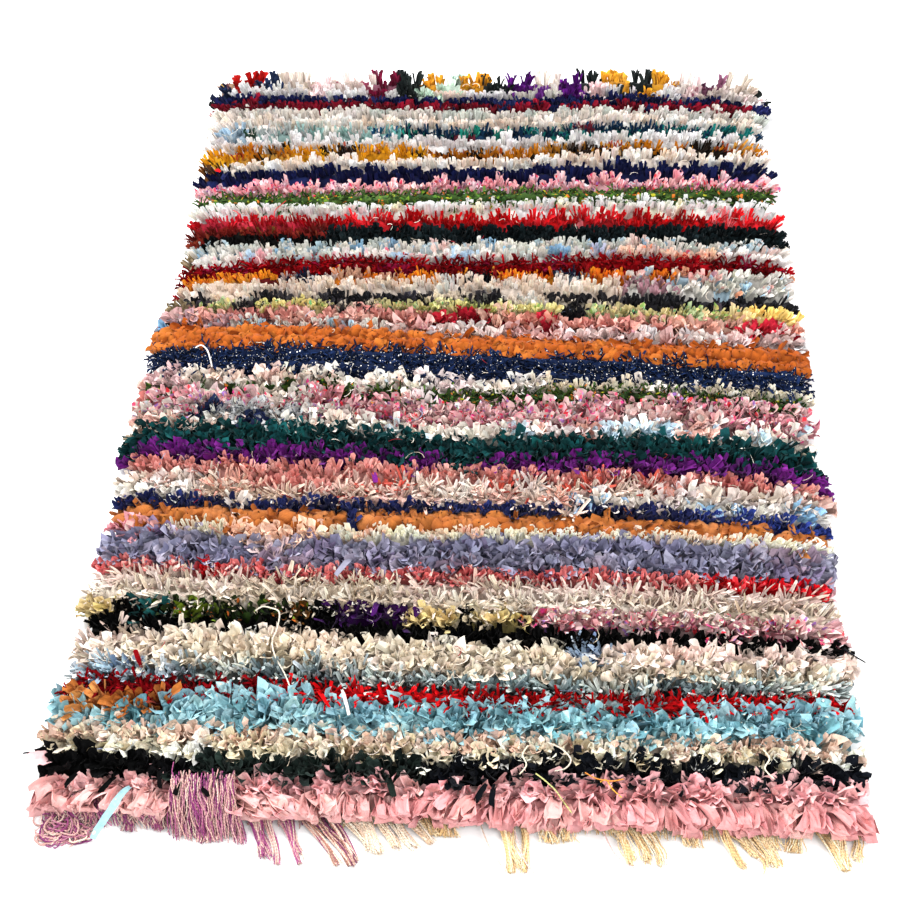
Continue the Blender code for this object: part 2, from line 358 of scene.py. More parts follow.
def printed(name, inks, scale, cover=0.5, sheen=0.03):
    """Loose printed blotches in several inks over the strip's tint."""
    n = Nodes(name, 0.88, sheen)
    cloth, place = n.uv("Cloth"), n.place()
    bent = n.noise(cloth, scale * 0.9, 2.0, 0.5)
    node = n.add("ShaderNodeVectorMath", operation="ADD")
    n.link(cloth, node.inputs[0])
    combine = n.add("ShaderNodeCombineXYZ")
    n.link(n.span(bent, 0.0, 1.0, -0.006, 0.006), combine.inputs[0])
    n.link(n.span(bent, 0.0, 1.0, 0.006, -0.006), combine.inputs[1])
    n.link(combine.outputs[0], node.inputs[1])
    cells = n.voronoi(node.outputs["Vector"], scale)
    pick = n.add("ShaderNodeSeparateColor")
    n.link(cells.outputs["Color"], pick.inputs[0])
    count = len(inks)
    ink = n.ramp(pick.outputs[0], [(i / count, c) for i, c in enumerate(inks)], constant=True)
    petal = n.span(cells.outputs["Distance"], 0.42, 0.5, 1.0, 0.0, smooth=True)
    chosen = n.math("LESS_THAN", pick.outputs[1], cover)
    colour = n.mix(n.math("MULTIPLY", petal, chosen), n.tint(), ink)
    weave = woven(n, cloth, 0.0011)
    fine = n.noise(place, 200.0, 2.0, 0.6)
    shade = n.math("MULTIPLY", n.span(fine, 0.25, 0.75, 0.9, 1.06), n.span(weave, 0.0, 1.0, 0.9, 1.03))
    n.bump(n.math("ADD", n.math("MULTIPLY", weave, 0.5), fine), 0.35, 0.0012)
    return n.finish(n.times(colour, shade), n.span(fine, 0.2, 0.8, 0.8, 0.95))


def velvet(name, sheen=0.03, depth=0.35):
    n = Nodes(name, 0.97, sheen, 0.3, specular=0.05)
    cloth, place = n.uv("Cloth"), n.place()
    pile = n.noise(place, 420.0, 3.0, 0.7)
    tuft = n.noise(place, 130.0, 3.0, 0.6)
    shade = n.math("MULTIPLY", n.span(tuft, 0.3, 0.7, 1.0 - depth, 1.0 + depth * 0.5), n.span(pile, 0.25, 0.75, 0.8, 1.15))
    n.bump(n.math("ADD", n.math("MULTIPLY", pile, 0.6), tuft), 0.8, 0.002)
    return n.finish(n.times(n.tint(), shade), n.span(pile, 0.2, 0.8, 0.9, 1.0))


def twisted(name, sheen=0.06):
    """Spun yarn: plies running slantwise round the strand."""
    n = Nodes(name, 0.92, sheen)
    cloth, place = n.uv("Cloth"), n.place()
    slanted = n.add("ShaderNodeMapping")
    slanted.inputs["Rotation"].default_value = (0.0, 0.0, math.radians(38.0))
    n.link(cloth, slanted.inputs["Vector"])
    ply = n.wave(slanted.outputs["Vector"], 0.5 / 0.0016 / math.pi, "X", 0.8)
    fuzz = n.noise(place, 500.0, 3.0, 0.7)
    drift = n.noise(cloth, 60.0, 2.0, 0.5, stretch=(1.0, 0.6, 1.0))
    shade = n.math("MULTIPLY", n.span(ply, 0.0, 1.0, 0.86, 1.16), n.span(fuzz, 0.25, 0.75, 0.92, 1.1))
    shade = n.math("MULTIPLY", shade, n.span(drift, 0.3, 0.7, 0.85, 1.1))
    n.bump(n.math("ADD", ply, n.math("MULTIPLY", fuzz, 0.6)), 0.6, 0.001)
    return n.finish(n.times(n.tint(), shade), n.span(fuzz, 0.2, 0.8, 0.84, 0.98))


def ground_cloth(name):
    """The woven ground: close weft picks over warp ends, in undyed wool and cotton with odd darker picks."""
    n = Nodes(name, 0.94, 0.04)
    place = n.place()
    warp = n.wave(place, 0.5 / 0.0048 / math.pi, "X", 0.4)
    weft = n.wave(place, 0.5 / 0.0022 / math.pi, "Y", 0.9)
    pick = n.noise(place, 30.0, 2.0, 0.5, stretch=(0.06, 8.0, 1.0))
    fuzz = n.noise(place, 500.0, 3.0, 0.7)
    base = n.ramp(pick, [(0.30, "8a7460"), (0.45, "b9a58c"), (0.58, "cdbba2"), (0.70, "a08871"), (0.78, "6d5a4c")])
    shade = n.math("MULTIPLY", n.span(warp, 0.0, 1.0, 0.82, 1.05), n.span(weft, 0.0, 1.0, 0.78, 1.06))
    shade = n.math("MULTIPLY", shade, n.span(fuzz, 0.25, 0.75, 0.88, 1.08))
    n.bump(n.math("ADD", n.math("MULTIPLY", weft, 0.8), n.math("MULTIPLY", warp, 0.5)), 0.7, 0.002)
    return n.finish(n.times(base, shade), n.span(fuzz, 0.2, 0.8, 0.86, 1.0))


MATERIALS = {
    "cotton": cotton("cotton_rag"),
    "crisp": cotton("crisp_cotton_rag", pitch=0.0009, sheen=0.02, mottle=0.12, roughness=0.86, bump=0.3),
    "jersey": jersey("jersey_rag"),
    "soft": jersey("soft_jersey_rag", sheen=0.10, mottle=0.14),
    "linen": linen("frayed_linen_rag"),
    "floral": printed("floral_print_rag", ("e0486a", "d8dfe6", "c43a78", "e8768c", "a9527f", "dd3a45", "f0b9bd", "9a6fb4"), 95.0, 0.55),
    "specks": printed("leaf_print_rag", ("24401a", "5c7c20", "172b12", "9a9826", "325424", "bd6826", "1f3818", "3f6824"), 120.0, 0.7),
    "darkleaf": printed("dark_leaf_print_rag", ("0d110a", "1a2610", "66801f", "0a0b0a", "16200e", "b05a20", "22340f", "0c0e0a"), 110.0, 0.6),
    "limemix": printed("faded_leaf_print_rag", ("8fb05e", "c9bf72", "6fae7d", "e0cf8a"), 90.0, 0.45),
    "navydots": dotted("navy_dotted_rag", "f0ece4", 0.0068, 0.0013),
    "creamdots": dotted("dotted_cotton_rag", "cfc8b6", 0.019, 0.0030),
    "navyspots": printed("spotted_cotton_rag", ("20284a", "161c36", "2d3658"), 230.0, 0.33),
    "velvet": velvet("velvet_rag"),
    "suede": velvet("suede_rag", sheen=0.06, depth=0.3),
    "yarn": twisted("twisted_yarn"),
    "ground": ground_cloth("woven_ground"),
}

# ----------------------------------------------------------------------------------------------
# how each kind of strip is cut, bent and packed
# ----------------------------------------------------------------------------------------------
# knots: bundles along a metre of row; strips: strips in a bundle; wide: strip width; tall: length over the pile height;
# splay: first and last lean of a strip away from the middle of its bundle, in degrees; roam: how far whole bundles
# lean;
# petal: share of strips that face round their bundle, the others face the ends of the rug; curl: first and last bend
# across the strip, in radians; tip: share of the width left at the tip; cut: slant of the tip; crumple: unevenness;
# spread: how far bundles stray from the row's line; foot: where strips leave the core; across and along: faces;
# core: height of the imported inner pile over the pile height, its tone as a share of the strips' tints (painted shade
# for the gaps between strips), and its unevenness; puff: radii of gathered puffs.
Kind = namedtuple("Kind", "knots strips wide tall splay roam petal curl tip cut crumple twist bend spread foot across along core puff")
KINDS = {
    "slat": Kind(128, 5, (0.0070, 0.0112), (0.95, 1.06), ((0, 5), (3, 15)), 5.0, 0.35, ((0.7, 1.9), (0.3, 1.3)), (0.80, 1.05), 0.20, 0.12, 0.30, 1.3, 0.30, 0.0, 2, 3, (0.66, 0.66, 0.0020), None),
    "thin": Kind(112, 6, (0.0052, 0.0086), (0.90, 1.05), ((0, 8), (5, 30)), 8.0, 0.60, ((1.0, 2.2), (0.5, 1.8)), (0.74, 1.05), 0.26, 0.14, 0.60, 1.4, 0.32, 0.0, 2, 3, (0.70, 0.60, 0.0025), None),
    "tab": Kind(98, 5, (0.0095, 0.0155), (0.90, 1.02), ((0, 8), (8, 32)), 8.0, 0.75, ((0.9, 2.1), (0.5, 1.6)), (0.80, 1.05), 0.26, 0.18, 0.40, 1.3, 0.32, 0.0, 2, 4, (0.66, 0.62, 0.0030), None),
    "rag": Kind(74, 6, (0.0118, 0.0205), (0.88, 1.04), ((0, 12), (14, 54)), 11.0, 0.68, ((0.5, 2.0), (0.2, 1.3)), (0.86, 1.10), 0.34, 0.22, 0.55, 1.3, 0.34, 0.0, 2, 5, (0.60, 0.60, 0.0035), None),
    "bigrag": Kind(62, 6, (0.0160, 0.0285), (0.86, 1.02), ((0, 14), (18, 62)), 12.0, 0.62, ((0.3, 1.9), (0.1, 1.2)), (0.94, 1.14), 0.34, 0.24, 0.70, 1.3, 0.32, 0.0, 3, 4, (0.60, 0.55, 0.0040), None),
    "fray": Kind(60, 10, (0.0060, 0.0110), (0.94, 1.14), ((2, 14), (18, 74)), 11.0, 0.80, ((1.0, 2.6), (0.7, 2.3)), (0.40, 0.90), 0.40, 0.24, 0.90, 1.3, 0.34, 0.0, 2, 5, (0.72, 0.86, 0.0040), None),
    "crumb": Kind(165, 5, (0.0060, 0.0100), (0.94, 1.10), ((12, 34), (50, 125)), 10.0, 0.70, ((1.3, 2.6), (1.2, 2.6)), (0.65, 1.00), 0.30, 0.24, 0.80, 1.2, 0.36, 0.45, 2, 4, (0.86, 0.90, 0.0035), None),
    "terry": Kind(150, 5, (0.0068, 0.0110), (0.84, 0.98), ((8, 26), (36, 105)), 8.0, 0.70, ((1.3, 2.5), (1.4, 2.6)), (0.80, 1.05), 0.26, 0.24, 0.70, 1.3, 0.34, 0.45, 2, 4, (0.80, 0.80, 0.0035), None),
    "puff": Kind(22, 3, (0.0150, 0.0260), (0.94, 1.02), ((0, 18), (40, 95)), 12.0, 0.90, ((1.2, 2.4), (1.0, 2.0)), (0.80, 1.00), 0.26, 0.22, 0.50, 1.2, 0.30, 0.2, 3, 4, (0.66, 0.62, 0.0030), (0.0130, 0.0190)),
    "chunk": Kind(64, 6, (0.0150, 0.0270), (0.94, 1.10), ((0, 10), (12, 52)), 10.0, 0.45, ((0.6, 2.4), (0.3, 1.8)), (0.90, 1.08), 0.24, 0.22, 0.45, 1.3, 0.34, 0.0, 3, 4, (0.66, 0.70, 0.0040), (0.0085, 0.0125)),
    "edge": Kind(116, 6, (0.0066, 0.0108), (0.98, 1.12), ((0, 10), (8, 56)), 12.0, 0.55, ((1.3, 2.5), (1.0, 2.2)), (0.92, 1.06), 0.22, 0.10, 0.35, 1.3, 0.32, 0.0, 2, 4, (0.50, 0.10, 0.0020), None),
    "flap": Kind(58, 5, (0.0160, 0.0300), (0.74, 0.92), ((0, 14), (15, 62)), 11.0, 0.35, ((0.5, 2.0), (0.2, 1.4)), (0.88, 1.10), 0.28, 0.22, 0.45, 1.3, 0.26, 0.0, 3, 4, (0.60, 0.60, 0.0040), None),
    "cloth": Kind(50, 4, (0.0200, 0.0430), (1.10, 1.62), ((-16, 16), (100, 165)), 15.0, 0.0, ((0.9, 2.4), (0.5, 2.0)), (0.85, 1.06), 0.30, 0.24, 0.32, 0.95, 0.34, 0.0, 5, 7, (0.70, 0.70, 0.0040), None),
}

# ----------------------------------------------------------------------------------------------
# fabrics: material, kind of strip, tints with their shares, and how much single strips differ
# ----------------------------------------------------------------------------------------------
Fabric = namedtuple("Fabric", "material kind tints vary run")


def fabric(material, kind, tints, vary=0.09, run=3):
    shares = np.array([share for _, share in tints], float)
    return Fabric(material, kind, (np.array([linear(c) for c, _ in tints]), shares / shares.sum()), vary, run)


FABRICS = {
    # far end blocks
    "wisp_peach": fabric("linen", "thin", (("c29b7f", 3), ("a27e47", 2), ("895b64", 2), ("af8676", 1))),
    "red_orange": fabric("jersey", "tab", (("a20b06", 4), ("8b0704", 2), ("ae130a", 1))),
    "navy_block": fabric("jersey", "tab", (("1c2947", 3), ("161e38", 2), ("233256", 1))),
    "cream_block": fabric("cotton", "slat", (("d2c4ba", 3), ("c6b8ab", 2), ("dacdc5", 1))),
    "light_pink": fabric("crisp", "tab", (("eacfd0", 3), ("eddddc", 2), ("e3c0c1", 1))),
    "maroon": fabric("jersey", "tab", (("6a0f2e", 3), ("530b24", 2), ("784757", 1))),
    "black_green": fabric("jersey", "tab", (("1c2221", 3), ("141a1a", 2), ("252e2d", 1))),
    "mustard_block": fabric("jersey", "tab", (("cc9026", 3), ("bf811d", 2), ("d6a039", 1))),
    "mint_block": fabric("cotton", "tab", (("baccbc", 3), ("a2b9ab", 2), ("cfd5c8", 1))),
    "violet_block": fabric("jersey", "tab", (("591074", 3), ("460c5e", 2), ("691984", 1))),
    "plum": fabric("jersey", "tab", (("75455c", 3), ("63364e", 2), ("8a5972", 1))),
    "cream_specks": fabric("cotton", "slat", (("decfc8", 5), ("d7bfbf", 2), ("a14a65", 0.5), ("c9b6b0", 2))),
    "blush_cream": fabric("cotton", "slat", (("d6ccc7", 4), ("dbc3c3", 2), ("cbbdb5", 2), ("995568", 0.25))),
    # upper stripes
    "cool_white": fabric("cotton", "slat", (("e3e0df", 3), ("dad6d5", 3), ("ebe9e9", 2), ("cfccc9", 1))),
    "white_mint": fabric("cotton", "slat", (("e5d5cb", 3), ("b5d4bf", 2), ("deccc2", 2))),
    "white_black": fabric("cotton", "slat", (("e0dcdd", 4), ("242c2d", 1), ("d0d9d7", 1))),
    "white_purple": fabric("cotton", "slat", (("d9d6cd", 5), ("682c83", 1), ("cdc7c0", 2))),
    "navy": fabric("jersey", "tab", (("121743", 4), ("0e1136", 3), ("1d2254", 2), ("630f24", 0.25))),
    "dark_red": fabric("jersey", "tab", (("830f26", 4), ("660a1c", 3), ("95162f", 1), ("1b2450", 0.7))),
    "grey_cream": fabric("cotton", "slat", (("d5d0cb", 3), ("c3c7c1", 2), ("e2dad2", 3))),
    "cream": fabric("cotton", "slat", (("f2e5dc", 4), ("e9dacd", 3), ("f3f1ec", 2), ("deccbd", 1))),
    "sky": fabric("crisp", "tab", (("9eb4c4", 3), ("8fa7b8", 2), ("b4c1c9", 1))),
    "pale_mint": fabric("cotton", "thin", (("b0b7b6", 3), ("9db7b4", 2), ("bcbcbb", 3), ("8ba7a3", 1))),
    "mint": fabric("cotton", "thin", (("99b8b3", 3), ("bbbdb6", 3), ("7d9f9a", 2), ("c7bfbb", 1))),
    "mint_teal": fabric("cotton", "thin", (("74b1ad", 3), ("83aba6", 2), ("184b5a", 1), ("1e5881", 0.5), ("a4b5b4", 2))),
    "teal_navy": fabric("jersey", "thin", (("10314d", 4), ("092741", 3), ("146965", 2), ("1f8473", 0.6), ("631c2b", 0.15))),
    "dark_leaf": fabric("jersey", "thin", (("1e382a", 2), ("254734", 1))),
    "mustard": fabric("linen", "thin", (("db9a13", 5), ("e5a71a", 3), ("c8850c", 2), ("231502", 1.2), ("b04718", 0.3))),
    "mustard_black": fabric("linen", "thin", (("be760e", 4), ("170b02", 3), ("a86208", 2), ("9f3d15", 0.9), ("bc8633", 0.4))),
    "black_mustard": fabric("linen", "thin", (("140d07", 4), ("bf8121", 3), ("b0523e", 1.1), ("261509", 2), ("c7a474", 0.5))),
    "dark_brown": fabric("linen", "thin", (("1c120d", 3), ("472a15", 1), ("764719", 1))),
    "indigo": fabric("jersey", "slat", (("0f1641", 4), ("0b1037", 3), ("162052", 2)), 0.12),
    "floral_a": fabric("floral", "tab", (("e6b2b5", 4), ("e1a1a9", 2), ("d7bac0", 1), ("edc1c0", 1))),
    "green_a": fabric("specks", "crumb", (("344d1e", 3), ("2a3f19", 3), ("4a642b", 1))),
    "cream_tall": fabric("cotton", "slat", (("f3f3f3", 4), ("f3f3e8", 3), ("f3f3f3", 2), ("f1ebd1", 1))),
    "rose_red": fabric("jersey", "thin", (("c41728", 3), ("d43748", 2), ("ab0914", 3), ("8f060e", 2), ("b42237", 2))),
    "red": fabric("jersey", "thin", (("c70911", 5), ("ab060d", 3), ("d71e28", 2), ("de6f75", 0.5), ("88080f", 1))),
    "brick": fabric("velvet", "thin", (("85251f", 3), ("671d1a", 3), ("9a432f", 1), ("765025", 1))),
    "charcoal": fabric("suede", "tab", (("131c1f", 4), ("0d1517", 3), ("1b2629", 2))),
    "black_slim": fabric("velvet", "tab", (("0c0c0d", 3), ("141313", 2))),
    "cloud_white": fabric("cotton", "slat", (("dad8d1", 4), ("b7c9d2", 1.6), ("e4ddd4", 3), ("c5cbc6", 2), ("92b5ce", 0.6), ("e0c6bf", 0.8))),
    "cloud_pink": fabric("cotton", "slat", (("f3e8e4", 4), ("f3bdc2", 1.4), ("c1d6e9", 1), ("f3efe8", 3), ("df778f", 0.4), ("ece2dc", 1.5))),
    "cloud_peach": fabric("cotton", "slat", (("f3cfbd", 4), ("f39e80", 1), ("e8cdc3", 2), ("b2b7c9", 0.6), ("df6878", 0.4), ("f3c6b0", 1))),
    "olive_cream": fabric("cotton", "slat", (("87785d", 3), ("968568", 3), ("71664c", 1))),
    "oxblood": fabric("velvet", "terry", (("7f030a", 4), ("660208", 3), ("940611", 1), ("740b2b", 0.7))),
    "amber": fabric("jersey", "thin", (("e49325", 4), ("d57119", 3), ("8a1317", 1.4), ("eda43d", 1), ("590b0f", 0.8))),
    "amber_cream": fabric("cotton", "thin", (("d1761d", 3), ("cba68f", 4), ("d3b098", 2), ("70080c", 0.8))),
    "amber_blue": fabric("cotton", "thin", (("8b99a8", 2), ("181d33", 2), ("b5a49f", 2), ("a65417", 1), ("740a12", 1))),
    "night": fabric("velvet", "thin", (("15151b", 3), ("1c2031", 1), ("383e45", 1))),
    "cream_fan": fabric("cotton", "slat", (("ecdbcd", 5), ("e1cebd", 3), ("cececa", 1), ("f3e5da", 2))),
    "mixed_pale": fabric("cotton", "tab", (("d0ccc5", 4), ("cfa39c", 1.4), ("a5bfce", 1.3), ("ccc8bc", 2), ("ae868f", 0.8), ("c0896c", 0.4))),
    "soot": fabric("suede", "tab", (("2a292d", 4), ("212024", 3), ("3a383f", 2))),
    "soot_cream": fabric("suede", "tab", (("2e2c2f", 4), ("ded0bc", 2), ("3f3b3f", 2), ("8d8a83", 0.5))),
    "lime_soft": fabric("limemix", "tab", (("c6ba8c", 3), ("acba8e", 2), ("dac49d", 2), ("3e3740", 0.5))),
    "pale_yellow": fabric("limemix", "tab", (("dcd397", 4), ("d2c381", 2), ("e6e2b0", 2), ("b8b97b", 1))),
    "bright_yellow": fabric("crisp", "tab", (("e6cc80", 4), ("ddbe6d", 2), ("ead8a2", 2), ("ded4cd", 1))),
    "salmon": fabric("cotton", "rag", (("c38e83", 4), ("b7786f", 3), ("cca297", 2), ("a0625d", 1)), 0.1),
    "salmon_crimson": fabric("cotton", "rag", (("bf8879", 4), ("ac1f31", 1.4), ("bb786a", 2), ("8d1021", 0.7), ("cca695", 2)), 0.1),
    "salmon_blue": fabric("cotton", "rag", (("a48387", 3), ("7ca3c3", 2), ("8f6168", 1), ("aab2bb", 2), ("5f4452", 0.5))),
    "dusty_mix": fabric("cotton", "rag", (("be9796", 3), ("90545b", 1), ("95a8b7", 1), ("ccbeb6", 2))),
    "pale_rose": fabric("cotton", "rag", (("c9b2ae", 4), ("c49d98", 2), ("d0c3c0", 3), ("b47e8a", 0.7), ("cecacd", 1))),
    "rust": fabric("soft", "puff", (("9d4f19", 4), ("934614", 3), ("a45a20", 2)), 0.05),
    "orange": fabric("soft", "puff", (("9a5929", 4), ("914e1f", 3), ("a46537", 2)), 0.05),
    "navy_dot": fabric("navydots", "crumb", (("0e1f41", 4), ("091733", 3), ("14274e", 1))),
    "blush_slip": fabric("cotton", "rag", (("cbaeae", 3), ("d4ccc4", 3), ("d7e4d1", 2), ("ba8990", 1))),
    "blush_tan": fabric("cotton", "rag", (("dbcec2", 4), ("d5bcb0", 3), ("e2ddd4", 2), ("cca59a", 1))),
    "cream_rag": fabric("cotton", "rag", (("ded5cc", 4), ("d3c9be", 3), ("e7e2dc", 2))),
    "cloud_rag": fabric("cotton", "rag", (("e1d9cf", 4), ("c1d2db", 2), ("ece3d8", 3), ("a6bccb", 0.8), ("e3b9ae", 0.5))),
    "peach_cream": fabric("cotton", "rag", (("d7c8c6", 4), ("d79e8b", 1), ("ddd1cf", 3), ("c69589", 1))),
    "cream_slip": fabric("cotton", "slat", (("ebdfca", 4), ("e2d5be", 3), ("f3e9d7", 2), ("beced0", 0.3))),
    "leaf": fabric("specks", "crumb", (("263611", 3), ("1b2b0e", 3), ("364917", 1))),
    "leaf_rag": fabric("specks", "rag", (("1f2e0e", 3), ("16240b", 3), ("384913", 1))),
    "floral_b": fabric("floral", "rag", (("c6a2a2", 4), ("c08d91", 2), ("c9b0ab", 2), ("ac7076", 1)), 0.12),
    "floral_blush": fabric("floral", "rag", (("beb1a9", 4), ("c0bab2", 3), ("b69797", 1))),
    "rose_tan": fabric("cotton", "rag", (("b67f7b", 3), ("cba69d", 2), ("a55f58", 1), ("cebdb1", 2))),
    "navy_spot_white": fabric("navyspots", "rag", (("b4b5b5", 4), ("a5a5a6", 2), ("182242", 1.2))),
    "teal": fabric("jersey", "rag", (("09383a", 4), ("062f30", 3), ("0e4647", 2), ("042325", 2)), 0.1),
    "purple": fabric("soft", "rag", (("61176c", 4), ("4e105b", 3), ("71207d", 1)), 0.1),
    "dusty_pink": fabric("cotton", "tab", (("d2958d", 4), ("c8827a", 3), ("ddaba1", 2), ("b1625e", 1)), 0.09),
    "cream_peach": fabric("cotton", "rag", (("cec0b8", 4), ("c8a69a", 1.5), ("c5b7aa", 3), ("d6d0cb", 1))),
    "cream_rose": fabric("linen", "fray", (("e5cfc2", 4), ("deb7ab", 2), ("ca594b", 0.5), ("dac3b3", 3), ("d1c6bf", 1))),
    "cream_mix": fabric("linen", "fray", (("dbc6b7", 4), ("d1b9a7", 3), ("b8b6b8", 1), ("dda696", 1), ("2a2e3d", 0.4))),
    "cream_sky": fabric("cotton", "rag", (("d4cfca", 4), ("9ab9d5", 1.4), ("cec5bd", 3), ("87adcc", 0.6))),
    "navy_puff": fabric("soft", "tab", (("1d2351", 4), ("161b42", 3), ("262f65", 2))),
    "cobalt": fabric("soft", "tab", (("27377c", 3), ("1f2d6d", 2), ("1f2356", 1))),
    "blush_slat": fabric("crisp", "slat", (("f3ecd8", 4), ("f3dbc7", 3), ("f3f3e2", 2), ("f3c5b0", 1))),
    "white_tuft": fabric("linen", "thin", (("f3ebd6", 4), ("ecdcc7", 3), ("f3f3e2", 1))),
    "rose_pink": fabric("cotton", "rag", (("c26377", 3), ("cb9097", 2), ("d2b4ac", 2))),
    "maroon_pink": fabric("cotton", "rag", (("6c1c2a", 3), ("873842", 2), ("cb938f", 1.5), ("8c7898", 0.6))),
    "orange_blush": fabric("cotton", "rag", (("e2c1ab", 4), ("d67e4e", 1.2), ("dbae97", 2))),
    "periwinkle": fabric("crisp", "bigrag", (("878599", 4), ("797890", 3), ("9a93a4", 2), ("6e647e", 1), ("958293", 0.7)), 0.1),
    "rose": fabric("cotton", "tab", (("d17372", 4), ("c16162", 3), ("df8885", 2), ("ab454b", 1)), 0.1),
    "rose_bright": fabric("cotton", "tab", (("cd0a1b", 4), ("e3202d", 2), ("b10713", 2), ("e44650", 0.6)), 0.1),
    "beige": fabric("linen", "fray", (("dccdbd", 4), ("cfbfaa", 3), ("e6dacc", 2), ("bfac95", 1)), 0.1),
    "beige_rose": fabric("linen", "fray", (("d8c3b8", 4), ("cfb1a6", 2), ("e1d0c7", 2), ("ccbbaa", 2)), 0.1),
    "straw": fabric("linen", "rag", (("d6c08a", 3), ("c8b280", 2), ("dcccae", 2), ("c4b272", 1))),
    "teal_tuft": fabric("jersey", "rag", (("1b5757", 3), ("144545", 2))),
    "lime_leaf": fabric("darkleaf", "rag", (("213706", 3), ("152105", 2), ("4a580d", 1.2), ("070903", 2))),
    "green_orange": fabric("darkleaf", "rag", (("222d09", 3), ("53340b", 1), ("0b0b03", 2))),
    "violet": fabric("soft", "rag", (("39074d", 3), ("2c053f", 2), ("440d59", 1))),
    "black_orange": fabric("linen", "thin", (("130f0f", 2), ("c97628", 1), ("384d1f", 1))),
    "jet": fabric("velvet", "tab", (("060606", 4), ("0b0a0a", 2)), 0.1),
    "chunky": fabric("cotton", "chunk", (("d7ccbb", 4), ("cdc0ac", 3), ("e0d6c9", 2)), 0.08),
    "chunky_flat": fabric("cotton", "rag", (("e8dbcd", 4), ("dccdbc", 3), ("f1e5d9", 2)), 0.08),
    "chunky_pink": fabric("cotton", "chunk", (("e2d1c8", 4), ("ddc1b5", 2), ("d7c8bb", 3)), 0.08),
    "denim_fluff": fabric("navyspots", "fray", (("667998", 3), ("8ea2b9", 2), ("c9d3dd", 1), ("2e3b58", 1))),
    "steel": fabric("crisp", "edge", (("afbcbc", 4), ("94a6a8", 3), ("d4dad4", 2.4), ("6c7c81", 1.6), ("eae7d8", 1)), 0.14),
    "steel_blue": fabric("crisp", "edge", (("a4b8c4", 4), ("8fa2b4", 2), ("c6cfd4", 2.4), ("667c98", 1.4), ("dcd9cc", 1)), 0.14),
    "ruby": fabric("velvet", "terry", (("830710", 4), ("68040b", 3), ("970c17", 1))),
    "scarlet": fabric("velvet", "terry", (("c30c12", 4), ("a6090e", 3), ("d4181e", 1))),
    "scarlet_mix": fabric("velvet", "terry", (("95080c", 4), ("6e0509", 2), ("758184", 1.2))),
    "old_orange": fabric("linen", "rag", (("aa642b", 3), ("97511e", 2), ("ba7a42", 1), ("7b2613", 0.5))),
    "turquoise": fabric("creamdots", "bigrag", (("96bfc7", 4), ("85aeb9", 3), ("a9cbd0", 2), ("6898a2", 1.2)), 0.09),
    "tweed": fabric("creamdots", "rag", (("dcc0ae", 4), ("cfae9b", 3), ("e6d3c4", 3)), 0.1),
    "beige_curl": fabric("linen", "rag", (("ece2cd", 4), ("ddd1b7", 3), ("f3f3e5", 3), ("c4b495", 1)), 0.1),
    "black_rag": fabric("velvet", "rag", (("09090a", 4), ("0f0f11", 2)), 0.1),
    "green_black": fabric("suede", "rag", (("1b2421", 4), ("151d1b", 2), ("24302c", 2)), 0.1),
    "navy_black": fabric("suede", "rag", (("0c0e13", 4), ("11141b", 2), ("191c22", 1)), 0.1),
    "pink_cloth": fabric("crisp", "cloth", (("daa3a1", 4), ("d69898", 3), ("deafab", 2)), 0.04),
    "pink_flap": fabric("crisp", "flap", (("e7b4b5", 4), ("e3a9ab", 3), ("ebc2bf", 2)), 0.05),
    "mauve_yarn": fabric("yarn", "thin", (("f3b3b8", 3), ("af4374", 3), ("f3e0d4", 2), ("d37b98", 2)), 0.1, 2),
}

